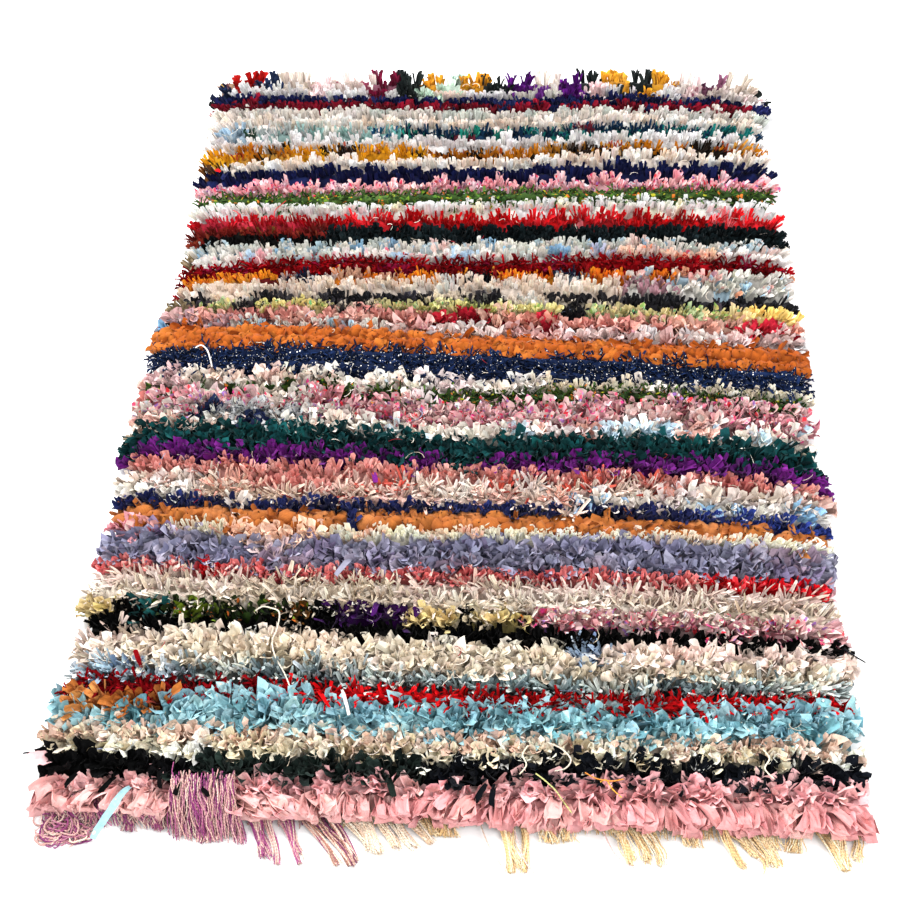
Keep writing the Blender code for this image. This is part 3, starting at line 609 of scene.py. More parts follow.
# ----------------------------------------------------------------------------------------------
# the rows of knots, far end first: y of the row at five places across, and its fabrics from left to right, each with
# the x where it ends. A stripe may be two rows, and they make one piece.
# ----------------------------------------------------------------------------------------------
STATIONS = np.array((-0.60, -0.30, 0.0, 0.30, 0.60))
Row = namedtuple("Row", "stripe y runs")
END = 0.70
ROWS = (
    Row("far_blocks", (0.937, 0.929, 0.927, 0.935, 0.915), (
        (-0.600, "wisp_peach"), (-0.535, "red_orange"), (-0.485, "navy_block"), (-0.410, "cream_block"), (-0.368, "light_pink"),
        (-0.270, "cream_specks"), (-0.215, "maroon"), (-0.155, "black_green"), (-0.110, "mustard_block"), (-0.066, "mint_block"),
        (-0.012, "mustard_block"), (0.045, "black_green"), (0.105, "violet_block"), (0.162, "cream_block"), (0.215, "violet_block"),
        (0.258, "black_green"), (0.325, "mustard_block"), (0.378, "black_green"), (0.430, "mustard_block"), (0.490, "blush_cream"),
        (0.540, "plum"), (0.600, "cream_block"), (END, "black_green"))),
    Row("white", (0.899, 0.883, 0.883, 0.888, 0.871), (
        (-0.632, "black_green"), (-0.590, "navy_block"), (-0.420, "cool_white"), (-0.370, "light_pink"), (-0.275, "cool_white"),
        (-0.235, "maroon"), (-0.205, "cool_white"), (-0.160, "black_green"), (-0.118, "mint_block"), (-0.050, "white_mint"),
        (0.060, "white_black"), (0.165, "white_purple"), (0.215, "violet_block"), (0.272, "light_pink"), (0.335, "white_black"),
        (0.385, "mustard_block"), (0.430, "cool_white"), (0.605, "blush_cream"), (END, "black_green"))),
    Row("navy", (0.869, 0.858, 0.853, 0.869, 0.846), (
        (-0.625, "black_green"), (-0.545, "navy"), (-0.525, "dark_red"), (0.565, "navy"), (0.600, "cool_white"), (END, "navy"))),
    Row("dark_red", (0.837, 0.834, 0.833, 0.846, 0.822), ((-0.620, "black_green"), (0.585, "dark_red"), (END, "navy"))),
    Row("cream_wide", (0.808, 0.808, 0.806, 0.811, 0.802), ((-0.618, "dark_red"), (END, "grey_cream"))),
    Row("cream_wide", (0.776, 0.777, 0.774, 0.784, 0.774), ((END, "cream"),)),
    Row("mint_teal", (0.737, 0.744, 0.738, 0.758, 0.739), (
        (-0.600, "cream"), (-0.540, "sky"), (-0.520, "dark_leaf"), (-0.400, "pale_mint"), (-0.260, "mint"), (-0.190, "mint_teal"),
        (END, "teal_navy"))),
    Row("offwhite", (0.699, 0.704, 0.701, 0.719, 0.712), ((END, "cool_white"),)),
    Row("mustard", (0.658, 0.673, 0.663, 0.686, 0.682), (
        (-0.540, "mustard"), (-0.430, "mustard_black"), (-0.340, "mustard"), (-0.280, "black_mustard"), (-0.120, "mustard"),
        (0.130, "mustard_black"), (0.300, "black_mustard"), (END, "mustard_black"))),
    Row("cream_mid", (0.601, 0.629, 0.627, 0.651, 0.646), ((-0.560, "dark_brown"), (END, "cream"))),
    Row("indigo", (0.572, 0.595, 0.590, 0.613, 0.606), ((END, "indigo"),)),
    Row("floral", (0.535, 0.549, 0.557, 0.567, 0.572), ((END, "floral_a"),)),
    Row("green", (0.484, 0.499, 0.509, 0.519, 0.526), ((END, "green_a"),)),
    Row("cream_tall", (0.462, 0.471, 0.484, 0.495, 0.491), ((END, "cream_tall"),)),
    Row("red", (0.426, 0.438, 0.438, 0.447, 0.442), ((-0.330, "rose_red"), (END, "red"))),
    Row("charcoal", (0.393, 0.399, 0.397, 0.404, 0.406), ((-0.320, "brick"), (END, "charcoal"))),
    Row("charcoal", (0.361, 0.372, 0.373, 0.384, 0.379), ((-0.560, "brick"), (-0.330, "black_slim"), (END, "charcoal"))),
    Row("blue_white", (0.341, 0.353, 0.353, 0.365, 0.359), ((END, "cloud_white"),)),
    Row("blue_white", (0.307, 0.323, 0.325, 0.340, 0.330), (
        (-0.575, "olive_cream"), (-0.430, "cloud_pink"), (-0.300, "cloud_white"), (0.030, "cloud_pink"), (0.230, "cloud_white"),
        (0.480, "cloud_peach"), (END, "cloud_pink"))),
    Row("oxblood", (0.273, 0.299, 0.296, 0.313, 0.303), ((END, "oxblood"),)),
    Row("amber", (0.242, 0.264, 0.264, 0.273, 0.269), (
        (-0.590, "oxblood"), (-0.400, "amber"), (-0.290, "amber_blue"), (-0.160, "amber_cream"), (-0.025, "amber"), (0.025, "night"),
        (0.155, "amber"), (0.215, "amber_blue"), (0.300, "amber"), (0.348, "mixed_pale"), (0.385, "amber"), (END, "mixed_pale"))),
    Row("cream_fan", (0.221, 0.238, 0.245, 0.247, 0.244), ((-0.595, "amber"), (0.285, "cream_fan"), (END, "mixed_pale"))),
    Row("soot", (0.183, 0.196, 0.199, 0.192, 0.191), (
        (-0.575, "olive_cream"), (-0.525, "soot"), (-0.445, "cream_fan"), (-0.300, "soot_cream"), (-0.100, "soot"), (0.060, "soot_cream"),
        (0.140, "cream_fan"), (0.300, "soot_cream"), (END, "soot"))),
    Row("pale_yellow", (0.163, 0.177, 0.180, 0.162, 0.161), (
        (-0.560, "olive_cream"), (-0.480, "lime_soft"), (-0.430, "soot_cream"), (-0.290, "pale_yellow"), (-0.190, "soot_cream"),
        (-0.100, "lime_soft"), (0.165, "pale_yellow"), (0.215, "soot"), (0.400, "lime_soft"), (0.505, "lime_soft"), (END, "bright_yellow"))),
    Row("salmon", (0.144, 0.152, 0.148, 0.127, 0.125), (
        (-0.560, "dusty_mix"), (-0.100, "salmon"), (0.060, "salmon_crimson"), (0.170, "salmon_crimson"), (0.370, "salmon"),
        (END, "salmon_crimson"))),
    Row("pale_mix", (0.120, 0.116, 0.104, 0.096, 0.095), ((-0.470, "salmon_blue"), (-0.150, "mixed_pale"), (END, "pale_rose"))),
    Row("rust", (0.092, 0.095, 0.076, 0.066, 0.057), ((END, "rust"),)),
    Row("rust", (0.068, 0.071, 0.056, 0.046, 0.027), ((END, "rust"),)),
    Row("navy_dot", (0.039, 0.046, 0.033, 0.025, 0.001), ((END, "navy_dot"),)),
    Row("navy_dot", (0.012, 0.016, -0.002, -0.006, -0.028), ((END, "navy_dot"),)),
    Row("cream_slat", (-0.019, -0.016, -0.036, -0.036, -0.049), (
        (-0.540, "blush_slip"), (-0.400, "blush_tan"), (-0.190, "blush_tan"), (-0.090, "cloud_rag"), (0.000, "peach_cream"),
        (0.130, "cream_rag"), (0.300, "cream_slip"), (0.420, "cream_rag"), (END, "cream_slip"))),
    Row("leaf_green", (-0.057, -0.056, -0.071, -0.056, -0.074), (
        (-0.605, "rose_tan"), (-0.560, "leaf_rag"), (-0.530, "floral_blush"), (-0.510, "leaf"), (-0.450, "blush_slip"), (-0.415, "leaf_rag"),
        (-0.395, "blush_tan"), (-0.378, "leaf_rag"), (-0.345, "blush_tan"), (-0.322, "leaf_rag"), (-0.275, "floral_blush"),
        (-0.212, "leaf_rag"), (-0.185, "floral_blush"), (-0.130, "leaf"), (-0.085, "peach_cream"), (END, "leaf"))),
    Row("floral_wide", (-0.083, -0.084, -0.099, -0.079, -0.095), (
        (-0.590, "rose_tan"), (-0.430, "floral_b"), (-0.300, "floral_blush"), (-0.160, "floral_b"), (END, "floral_b"))),
    Row("cloud", (-0.111, -0.109, -0.129, -0.115, -0.128), (
        (-0.510, "floral_blush"), (-0.310, "navy_spot_white"), (-0.190, "floral_blush"), (0.000, "floral_b"), (0.260, "floral_b"),
        (0.450, "pale_rose"), (END, "floral_b"))),
    Row("cloud", (-0.139, -0.137, -0.159, -0.147, -0.167), (
        (-0.430, "blush_tan"), (-0.350, "navy_spot_white"), (-0.130, "blush_tan"), (0.130, "cloud_rag"), (0.230, "peach_cream"),
        (END, "cloud_rag"))),
    Row("teal", (-0.168, -0.161, -0.187, -0.173, -0.202), ((-0.605, "beige"), (-0.130, "teal"), (0.060, "teal"), (END, "teal"))),
    Row("teal", (-0.193, -0.189, -0.211, -0.200, -0.226), ((END, "teal"),)),
    Row("purple", (-0.214, -0.214, -0.233, -0.222, -0.247), ((-0.595, "teal"), (-0.130, "purple"), (-0.105, "teal"), (-0.040, "purple"), (0.020, "teal"), (END, "purple"))),
    Row("dusty_pink", (-0.237, -0.247, -0.252, -0.256, -0.277), ((-0.600, "purple"), (0.600, "dusty_pink"), (END, "purple"))),
    Row("cream_pink", (-0.274, -0.288, -0.282, -0.288, -0.308), (
        (-0.470, "cream_peach"), (-0.380, "cream_mix"), (-0.240, "dusty_pink"), (-0.100, "cream_rose"), (0.340, "cream_rose"),
        (0.390, "peach_cream"), (END, "cream_peach"))),
    Row("cream_pink", (-0.301, -0.314, -0.305, -0.313, -0.336), (
        (-0.480, "cream_rag"), (-0.320, "cream_mix"), (0.140, "cream_rose"), (0.190, "cream_mix"), (END, "cream_sky"))),
    Row("cobalt", (-0.328, -0.336, -0.330, -0.333, -0.363), (
        (-0.605, "cream_rag"), (-0.405, "navy_puff"), (-0.385, "cream_rag"), (-0.320, "navy_puff"), (0.165, "navy_puff"), (0.200, "cream_rose"),
        (0.400, "navy_puff"), (END, "cobalt"))),
    Row("orange", (-0.353, -0.362, -0.354, -0.363, -0.386), (
        (-0.490, "orange"), (-0.430, "orange"), (-0.205, "orange"), (-0.180, "navy_puff"), (END, "orange"))),
    Row("blush", (-0.384, -0.395, -0.387, -0.384, -0.408), (
        (-0.560, "rose_pink"), (-0.500, "maroon_pink"), (-0.410, "white_tuft"), (-0.240, "orange_blush"), (END, "blush_slat"))),
    Row("periwinkle", (-0.412, -0.428, -0.418, -0.409, -0.430), ((-0.350, "periwinkle"), (-0.300, "pale_rose"), (END, "periwinkle"))),
    Row("periwinkle", (-0.439, -0.456, -0.448, -0.443, -0.456), ((END, "periwinkle"),)),
    Row("rose", (-0.462, -0.478, -0.471, -0.473, -0.482), ((-0.435, "rose"), (-0.405, "rose_bright"), (0.400, "rose"), (0.590, "rose_bright"), (END, "blush_slip"))),
    Row("beige_wide", (-0.488, -0.504, -0.496, -0.502, -0.508), ((-0.360, "beige_rose"), (-0.100, "beige"), (END, "beige_rose"))),
    Row("beige_wide", (-0.519, -0.534, -0.526, -0.530, -0.542), ((END, "beige"),)),
    Row("patches", (-0.549, -0.558, -0.554, -0.555, -0.573), (
        (-0.560, "straw"), (-0.530, "jet"), (-0.490, "teal_tuft"), (-0.300, "lime_leaf"), (-0.240, "green_orange"), (-0.200, "jet"), (-0.080, "violet"),
        (0.000, "straw"), (0.025, "jet"), (0.100, "straw"), (0.120, "black_orange"), (END, "floral_b"))),
    Row("black", (-0.583, -0.580, -0.586, -0.592, -0.597), ((-0.615, "straw"), (0.600, "jet"), (END, "jet"))),
    Row("chunky_cream", (-0.610, -0.607, -0.626, -0.623, -0.625), (
        (-0.500, "beige_rose"), (-0.100, "chunky_flat"), (0.175, "chunky"), (0.240, "denim_fluff"), (END, "chunky_pink"))),
    Row("chunky_cream", (-0.640, -0.638, -0.651, -0.652, -0.650), ((-0.560, "beige_rose"), (-0.440, "chunky_flat"), (END, "chunky"))),
    Row("steel", (-0.670, -0.666, -0.678, -0.677, -0.673), ((-0.430, "steel_blue"), (END, "steel"))),
    Row("scarlet", (-0.701, -0.703, -0.714, -0.715, -0.699), ((-0.280, "ruby"), (0.030, "scarlet"), (0.330, "scarlet_mix"), (END, "scarlet"))),
    Row("turquoise", (-0.729, -0.727, -0.736, -0.737, -0.723), ((-0.600, "turquoise"), (-0.455, "old_orange"), (END, "turquoise"))),
    Row("turquoise", (-0.754, -0.754, -0.762, -0.759, -0.750), ((END, "turquoise"),)),
    Row("tweed", (-0.781, -0.781, -0.784, -0.779, -0.777), ((END, "tweed"),)),
    Row("beige_fray", (-0.800, -0.800, -0.803, -0.798, -0.799), ((END, "beige_curl"),)),
    Row("jet", (-0.838, -0.838, -0.832, -0.827, -0.822), ((-0.400, "black_rag"), (-0.040, "green_black"), (END, "navy_black"))),
    Row("pink_rags", (-0.868, -0.866, -0.860, -0.854, -0.846), (
        (-0.405, "pink_flap"), (-0.320, "mauve_yarn"), (END, "pink_flap"))),
    Row("pink_rags", (-0.881, -0.880, -0.876, -0.874, -0.870), (
        (-0.400, "pink_cloth"), (-0.325, "mauve_yarn"), (END, "pink_cloth"))),
)

# ----------------------------------------------------------------------------------------------
# strips of cloth as mesh arrays
# ----------------------------------------------------------------------------------------------


class Batch:
    """Collects strips of many kinds into one mesh, with a tint, a cloth map and a cell of the picture map for each."""

    def __init__(self):
        self.groups = []
        self.count = 0

    def add(self, verts, tint, material, cloth, crisp=False):
        """verts: (n, along+1, across+1, 3). tint: same with 3. cloth: same with 2."""
        self.groups.append((verts, tint, material, cloth, crisp))
        self.count += len(verts)

    def build(self, name):
        cells = max(self.count, 1)
        columns = max(1, int(math.ceil(math.sqrt(cells * 1.6))))
        rows = int(math.ceil(cells / columns))
        positions, tints, faces, face_mats, soft, cloths, maps = [], [], [], [], [], [], []
        slots, base, done = [], 0, 0
        for verts, tint, material, cloth, crisp in self.groups:
            n, along, across, _ = verts.shape
            if material not in slots:
                slots.append(material)
            quad = []
            for j in range(along - 1):
                for i in range(across - 1):
                    a = j * across + i
                    quad.append((a, a + 1, a + across + 1, a + across))
            quad = np.array(quad)
            offset = base + np.arange(n)[:, None, None] * (along * across)
            f = (quad[None] + offset).reshape(-1, 4)
            faces.append(f)
            face_mats.append(np.full(len(f), slots.index(material)))
            soft.append(np.full(len(f), not crisp))
            positions.append(verts.reshape(-1, 3))
            tints.append(tint.reshape(-1, 3))
            cloths.append(cloth.reshape(-1, 2))
            cell = done + np.arange(n)
            u = np.linspace(0.10, 0.90, across)[None, None, :] + np.zeros((n, along, 1))
            v = np.linspace(0.06, 0.94, along)[None, :, None] + np.zeros((n, 1, across))
            u = (u + (cell % columns)[:, None, None]) / columns
            v = (v + (cell // columns)[:, None, None]) / rows
            maps.append(np.stack((u, v), -1).reshape(-1, 2))
            base += n * along * across
            done += n
        positions, faces = np.concatenate(positions), np.concatenate(faces)
        mesh = bpy.data.meshes.new(name)
        mesh.vertices.add(len(positions))
        mesh.vertices.foreach_set("co", positions.astype(np.float32).ravel())
        mesh.loops.add(faces.size)
        mesh.loops.foreach_set("vertex_index", faces.astype(np.int32).ravel())
        mesh.polygons.add(len(faces))
        mesh.polygons.foreach_set("loop_start", np.arange(0, faces.size, 4, dtype=np.int32))
        mesh.polygons.foreach_set("material_index", np.concatenate(face_mats).astype(np.int32))
        mesh.update(calc_edges=True)
        mesh.polygons.foreach_set("use_smooth", np.concatenate(soft))
        corner = faces.ravel()
        cloth_layer = mesh.uv_layers.new(name="Cloth")
        cloth_layer.data.foreach_set("uv", np.concatenate(cloths)[corner].astype(np.float32).ravel())
        bake_layer = mesh.uv_layers.new(name="OFBake")
        bake_layer.data.foreach_set("uv", np.concatenate(maps)[corner].astype(np.float32).ravel())
        tint_layer = mesh.color_attributes.new("Tint", "FLOAT_COLOR", "POINT")
        rgba = np.concatenate((np.concatenate(tints), np.ones((base, 1))), 1)
        tint_layer.data.foreach_set("color", rgba.astype(np.float32).ravel())
        mesh.update()
        piece = bpy.data.objects.new(name, mesh)
        for material in slots:
            mesh.materials.append(MATERIALS[material])
        bpy.context.scene.collection.objects.link(piece)
        return piece


def normalised(v):
    return v / np.maximum(np.linalg.norm(v, axis=-1, keepdims=True), 1e-9)


def turn(v, axis, angle):
    """Rodrigues turn of v about unit axis by angle, all as arrays."""
    c, s = np.cos(angle)[..., None], np.sin(angle)[..., None]
    return v * c + np.cross(axis, v) * s + axis * (np.sum(axis * v, -1, keepdims=True)) * (1 - c)


def strips(rng, root, length, width, lean_first, lean_last, heading, swing, facing, twist, curl_first, curl_last, pleat,
           pinch, tip, cut, crumple, bend, across, along, floor=0.0012):
    """Bent, curled and twisted strips. Everything is per strip. Returns (n, along+1, across+1, 3)."""
    n = len(root)
    t = np.linspace(0.0, 1.0, along + 1)
    mid = (t[1:] + t[:-1]) / 2.0
    lean = lean_first[:, None] + (lean_last - lean_first)[:, None] * mid[None] ** bend[:, None]
    head = heading[:, None] + swing[:, None] * mid[None]
    step = np.stack((np.sin(lean) * np.cos(head), np.sin(lean) * np.sin(head), np.cos(lean)), -1) * (length / along)[:, None, None]
    centre = np.concatenate((root[:, None], root[:, None] + np.cumsum(step, 1)), 1)
    tangent = np.empty((n, along + 1, 3))
    tangent[:, 1:-1] = step[:, 1:] + step[:, :-1]
    tangent[:, 0], tangent[:, -1] = step[:, 0], step[:, -1]
    tangent = normalised(tangent)
    side = np.stack((np.cos(facing), np.sin(facing), np.zeros(n)), -1)
    side = normalised(side - np.sum(side * tangent[:, 0], -1, keepdims=True) * tangent[:, 0])
    sides = np.empty((n, along + 1, 3))
    sides[:, 0] = side
    for j in range(1, along + 1):
        axis = np.cross(tangent[:, j - 1], tangent[:, j])
        size = np.linalg.norm(axis, axis=-1)
        angle = np.arctan2(size, np.sum(tangent[:, j - 1] * tangent[:, j], -1))
        unit = axis / np.maximum(size, 1e-9)[:, None]
        sides[:, j] = np.where(size[:, None] > 1e-6, turn(sides[:, j - 1], unit, angle), sides[:, j - 1])
    sides = turn(sides, tangent, twist[:, None] * t[None])
    normal = np.cross(tangent, sides)
    # width along the strip: narrow at the knot, full in the middle, its own share at the tip
    full = pinch[:, None] + (1.0 - pinch[:, None]) * np.clip(t[None] / 0.45, 0.0, 1.0) ** 0.8
    closing = 1.0 + (tip[:, None] - 1.0) * np.clip((t[None] - 0.62) / 0.38, 0.0, 1.0) ** 1.5
    half = width[:, None] * 0.5 * full * closing
    s = np.linspace(-1.0, 1.0, across + 1)
    curl = curl_first[:, None] + (curl_last - curl_first)[:, None] * t[None]
    curl = np.where(np.abs(curl) < 0.05, 0.05, curl)[..., None]
    along_side = np.sin(curl * s) / curl * half[..., None]
    along_normal = (1.0 - np.cos(curl * s)) / curl * half[..., None]
    phase = rng.uniform(0, 2 * math.pi, (n, 1, 1))
    folds = rng.uniform(2.2, 3.6, (n, 1, 1))
    along_normal = along_normal + pleat[:, None, None] * half[..., None] * np.sin(folds * s[None, None] * 1.6 + phase) * (1.15 - 0.6 * t[None, :, None]) * 1.6
    wob = rng.uniform(0, 2 * math.pi, (n, 1, 1, 4))
    wave = (np.sin(t[None, :, None] * 6.3 + s[None, None] * 1.9 + wob[..., 0]) * 0.6
            + np.sin(t[None, :, None] * 10.1 - s[None, None] * 2.6 + wob[..., 1]) * 0.4)
    rough = crumple[:, None, None] * half[..., None]
    along_normal = along_normal + rough * (wave + rng.normal(0, 0.35, (n, along + 1, across + 1)))
    along_side = along_side + rough * 0.5 * rng.normal(0, 0.5, (n, along + 1, across + 1))
    slant = cut[:, None, None] * half[..., None] * s[None, None] * (t[None, :, None] ** 4)
    ragged = rng.normal(0, 0.10, (n, across + 1)) * np.clip(crumple * 3.0, 0.0, 0.6)[:, None] * width[:, None]
    slant = slant + (t[None, :, None] ** 6) * (ragged[:, None] + np.clip(0.16 - 7.0 * (width - 0.008), 0.0, 0.16)[:, None, None] * width[:, None, None] * (1.0 - s[None, None] ** 2))
    verts = (centre[:, :, None] + sides[:, :, None] * along_side[..., None] + normal[:, :, None] * along_normal[..., None]
             + tangent[:, :, None] * slant[..., None])
    low = verts[..., 2] < floor
    verts[..., 2] = np.where(low, floor + rng.uniform(0, 0.0025, verts.shape[:3]) * low, verts[..., 2])
    return verts


def smooth_noise(rng, x, pitch, low=-0.75, high=0.75):
    """Random values along x that change over about pitch."""
    knots = np.arange(low - pitch, high + 2 * pitch, pitch)
    values = rng.uniform(-1, 1, len(knots))
    u = (x - knots[0]) / pitch
    i = np.clip(u.astype(int), 0, len(knots) - 2)
    f = u - i
    f = f * f * (3 - 2 * f)
    return values[i] * (1 - f) + values[i + 1] * f


def draw(rng, pair, n):
    return rng.uniform(pair[0], pair[1], n)


def cloth_map(rng, verts, width, length):
    """Metres across and along each strip, from its own place on the bolt."""
    n, along, across, _ = verts.shape
    s = np.linspace(-0.5, 0.5, across)[None, None, :] * width[:, None, None]
    t = np.linspace(0.0, 1.0, along)[None, :, None] * length[:, None, None]
    start = rng.uniform(0, 4.0, (n, 1, 1, 2))
    return np.stack((s + np.zeros_like(t), t + np.zeros_like(s)), -1) + start


# kinds whose folds are sharp enough to show as facets
CRISP = tuple(KINDS[name] for name in ("tab", "rag", "bigrag", "chunk", "cloth", "flap"))
CEILING = 0.0560
SIDE_ROOM = 0.004
FAR_LIMIT, NEAR_LIMIT = 0.984, -0.909


def kept_in(verts):
    """Strips that reach past the rug's outline or crown are pressed back towards it."""
    z = verts[..., 2]
    verts[..., 2] = np.where(z > CEILING, CEILING - (z - CEILING) * 0.2, z)
    y = verts[..., 1]
    along = np.maximum(y, -0.885)
    right, left = right_edge(along) + SIDE_ROOM, left_edge(along) - SIDE_ROOM
    x = verts[..., 0]
    x = np.where(x > right, right + (x - right) * 0.45, x)
    x = np.where(x < left, left + (x - left) * 0.45, x)
    verts[..., 0] = x
    y = np.where(y < NEAR_LIMIT, NEAR_LIMIT + (y - NEAR_LIMIT) * 0.3, y)
    verts[..., 1] = np.where(y > FAR_LIMIT, FAR_LIMIT + (y - FAR_LIMIT) * 0.3, y)
    return verts


def colours_of(rng, cloth, count, order=None):
    """A tint for each of count neighbours: runs share a tint, and some are picked freely."""
    tints, shares = cloth.tints
    choice = np.empty(count, int)
    order = np.arange(count) if order is None else order
    at = 0
    while at < count:
        run = 1 + rng.poisson(max(cloth.run - 1, 0))
        choice[order[at:at + run]] = rng.choice(len(shares), p=shares)
        at += run
    return choice


def tinted_with_painted_shade(rng, colour, verts, vary, foot=0.46):
    """Each strip's own tone, with painted shade near the knot and in the middle of its fold, painted light towards the
    tip, and lighter cut edges for their frayed threads.
    """
    n, along, across = verts.shape[:3]
    colour = colour * np.exp(rng.normal(0, vary, (n, 1))) * np.exp(rng.normal(0, 0.018, (n, 3)))
    t = np.linspace(0, 1, along)[None, :, None, None]
    # painted shade near the knot, where the strip goes down into the pile
    shade = foot + (1.0 - foot) * np.clip(t / 0.6, 0, 1)
    if foot < 0.8:
        s = np.abs(np.linspace(-1, 1, across))[None, None, :, None]
        # painted shade in the middle of the fold and painted light towards the tip; the cut edges are lighter for their
        # frayed threads
        shade = shade * (0.90 + 0.20 * s ** 2) * (0.97 + 0.07 * t)
    return np.clip(colour[:, None, None, :] * shade, 0, 0.93) + np.zeros(verts.shape)


def rippled(phases, x, y):
    """Lumpy value from -1 to 1, the same wherever it is asked for."""
    total = 0.0
    for k, (kx, ky) in enumerate(((420, 160), (-270, 330), (610, -240), (190, 520), (-730, 410), (300, -690))):
        total = total + np.sin(kx * x + ky * y + phases[k])
    return total / 3.2


def core_of(batch, rng, phases, row, gaps, lo, hi, start, stop, cloth, kind):
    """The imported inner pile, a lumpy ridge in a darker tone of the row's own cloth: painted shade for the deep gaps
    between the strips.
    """
    share, tone, rough = kind.core
    chunks = max(1, int(math.ceil((hi - lo) / 0.024)))
    steps, across = 4, 4
    edges = np.linspace(lo, hi, chunks + 1)
    x = edges[:-1, None] + (edges[1:] - edges[:-1])[:, None] * np.linspace(0, 1, steps + 1)[None]
    x = x[:, :, None] + np.zeros(across + 1)
    s = np.linspace(-1, 1, across + 1)[None, None]
    reach = np.where(s > 0, np.interp(x, STATIONS, gaps[0]), np.interp(x, STATIONS, gaps[1]))
    y = np.interp(x, STATIONS, row.y) + s * reach * 0.56
    crown = np.maximum(cad_height(x, np.interp(x, STATIONS, row.y)), 0.010)
    ends = np.clip(np.minimum(x - start, stop - x) / 0.016 + 0.25, 0.0, 1.0) ** 0.6
    arch = np.sqrt(np.clip(1.0 - (s * 0.985) ** 2, 0, 1))
    lumps = rippled(phases, x, y)
    z = 0.0020 + crown * share * arch * ends + rough * lumps * arch * ends
    y = y + 0.6 * rough * rippled(phases[::-1], x, y)
    verts = np.stack((x, y, np.clip(z, 0.0016, CEILING)), -1)
    choice = colours_of(rng, cloth, chunks)
    tints, _ = cloth.tints
    # the core's tone darkens the row's tints: painted shade for the gaps between strips
    colour = tints[choice] * tone * np.exp(rng.normal(0, cloth.vary, (chunks, 1)))
    # painted shade in the hollows of the ridge and painted light on its humps
    tint = np.clip(colour, 0, 0.9)[:, None, None, :] * np.clip(0.85 + 0.25 * lumps, 0.5, 1.1)[..., None]
    cloth_uv = np.stack((x * 1.0, y * 1.0 + 3.0), -1)
    batch.add(verts, tint, cloth.material, cloth_uv)


def puffs_of(batch, rng, row, pitch, lo, hi, cloth, kind):
    """Gathered puffs of cloth: tilted domes with creases running to the knot."""
    small, large = kind.puff
    step = (small + large) * 0.58
    count = max(1, int(round((hi - lo) / step * (2.1 if kind is KINDS["puff"] else 0.45))))
    x = lo + (np.arange(count) + rng.uniform(0.1, 0.9, count)) / count * (hi - lo)
    line = np.where(np.arange(count) % 2 == 0, 1.0, -1.0) * 0.26 * pitch + rng.normal(0, 0.10 * pitch, count)
    y = np.interp(x, STATIONS, row.y) + line
    radius = rng.uniform(small, large, count)
    squash = rng.uniform(0.75, 1.25, count)
    crown = np.maximum(cad_height(x, y), 0.016)
    across, along = 10, 5
    phi = np.linspace(0, 2 * math.pi, across + 1)[None, None, :]
    theta = np.linspace(0.10, 2.1, along + 1)[None, :, None]
    wave = rng.uniform(0, 2 * math.pi, (count, 1, 1, 5))
    folds = rng.integers(2, 5, (count, 1, 1))
    crease = -0.24 * np.abs(np.sin(folds * phi * 0.5 + wave[..., 0])) ** 5 * (0.5 + 0.5 * np.cos(theta * 1.3 + wave[..., 1]))
    lump = 0.11 * np.sin(2 * phi + wave[..., 2]) * np.sin(theta * 2.0 + wave[..., 3]) + 0.06 * np.sin(3 * phi - wave[..., 4])
    noise = rng.normal(0, 0.035, (count, along + 1, across + 1))
    noise[..., -1] = noise[..., 0]
    r = radius[:, None, None] * (1.0 + crease + lump + noise)
    p = np.stack((r * np.sin(theta) * np.cos(phi) * squash[:, None, None], r * np.sin(theta) * np.sin(phi), r * 0.92 * np.cos(theta)), -1)
    tilt = np.abs(rng.normal(0, 0.45, count))
    way = rng.uniform(0, 2 * math.pi, count)
    axis = np.stack((np.cos(way), np.sin(way), np.zeros(count)), -1)[:, None, None, :] + np.zeros_like(p)
    p = turn(p, axis, tilt[:, None, None] + np.zeros(p.shape[:3]))
    centre = np.stack((x, y, crown * rng.uniform(0.90, 1.02, count) - radius * 0.9), -1)
    verts = p + centre[:, None, None, :]
    verts[..., 2] = np.maximum(verts[..., 2], 0.0022)
    verts = kept_in(verts)
    choice = colours_of(rng, cloth, count)
    tint = tinted_with_painted_shade(rng, cloth.tints[0][choice], verts, cloth.vary, 1.0)
    # painted shade in the creases and hollows of each puff, a little painted light on its bulges
    tint = tint * np.clip(1.0 + 1.6 * (crease + lump), 0.55, 1.08)[..., None]
    batch.add(verts, tint, cloth.material, cloth_map(rng, verts, radius * 5.0, radius * 2.2))


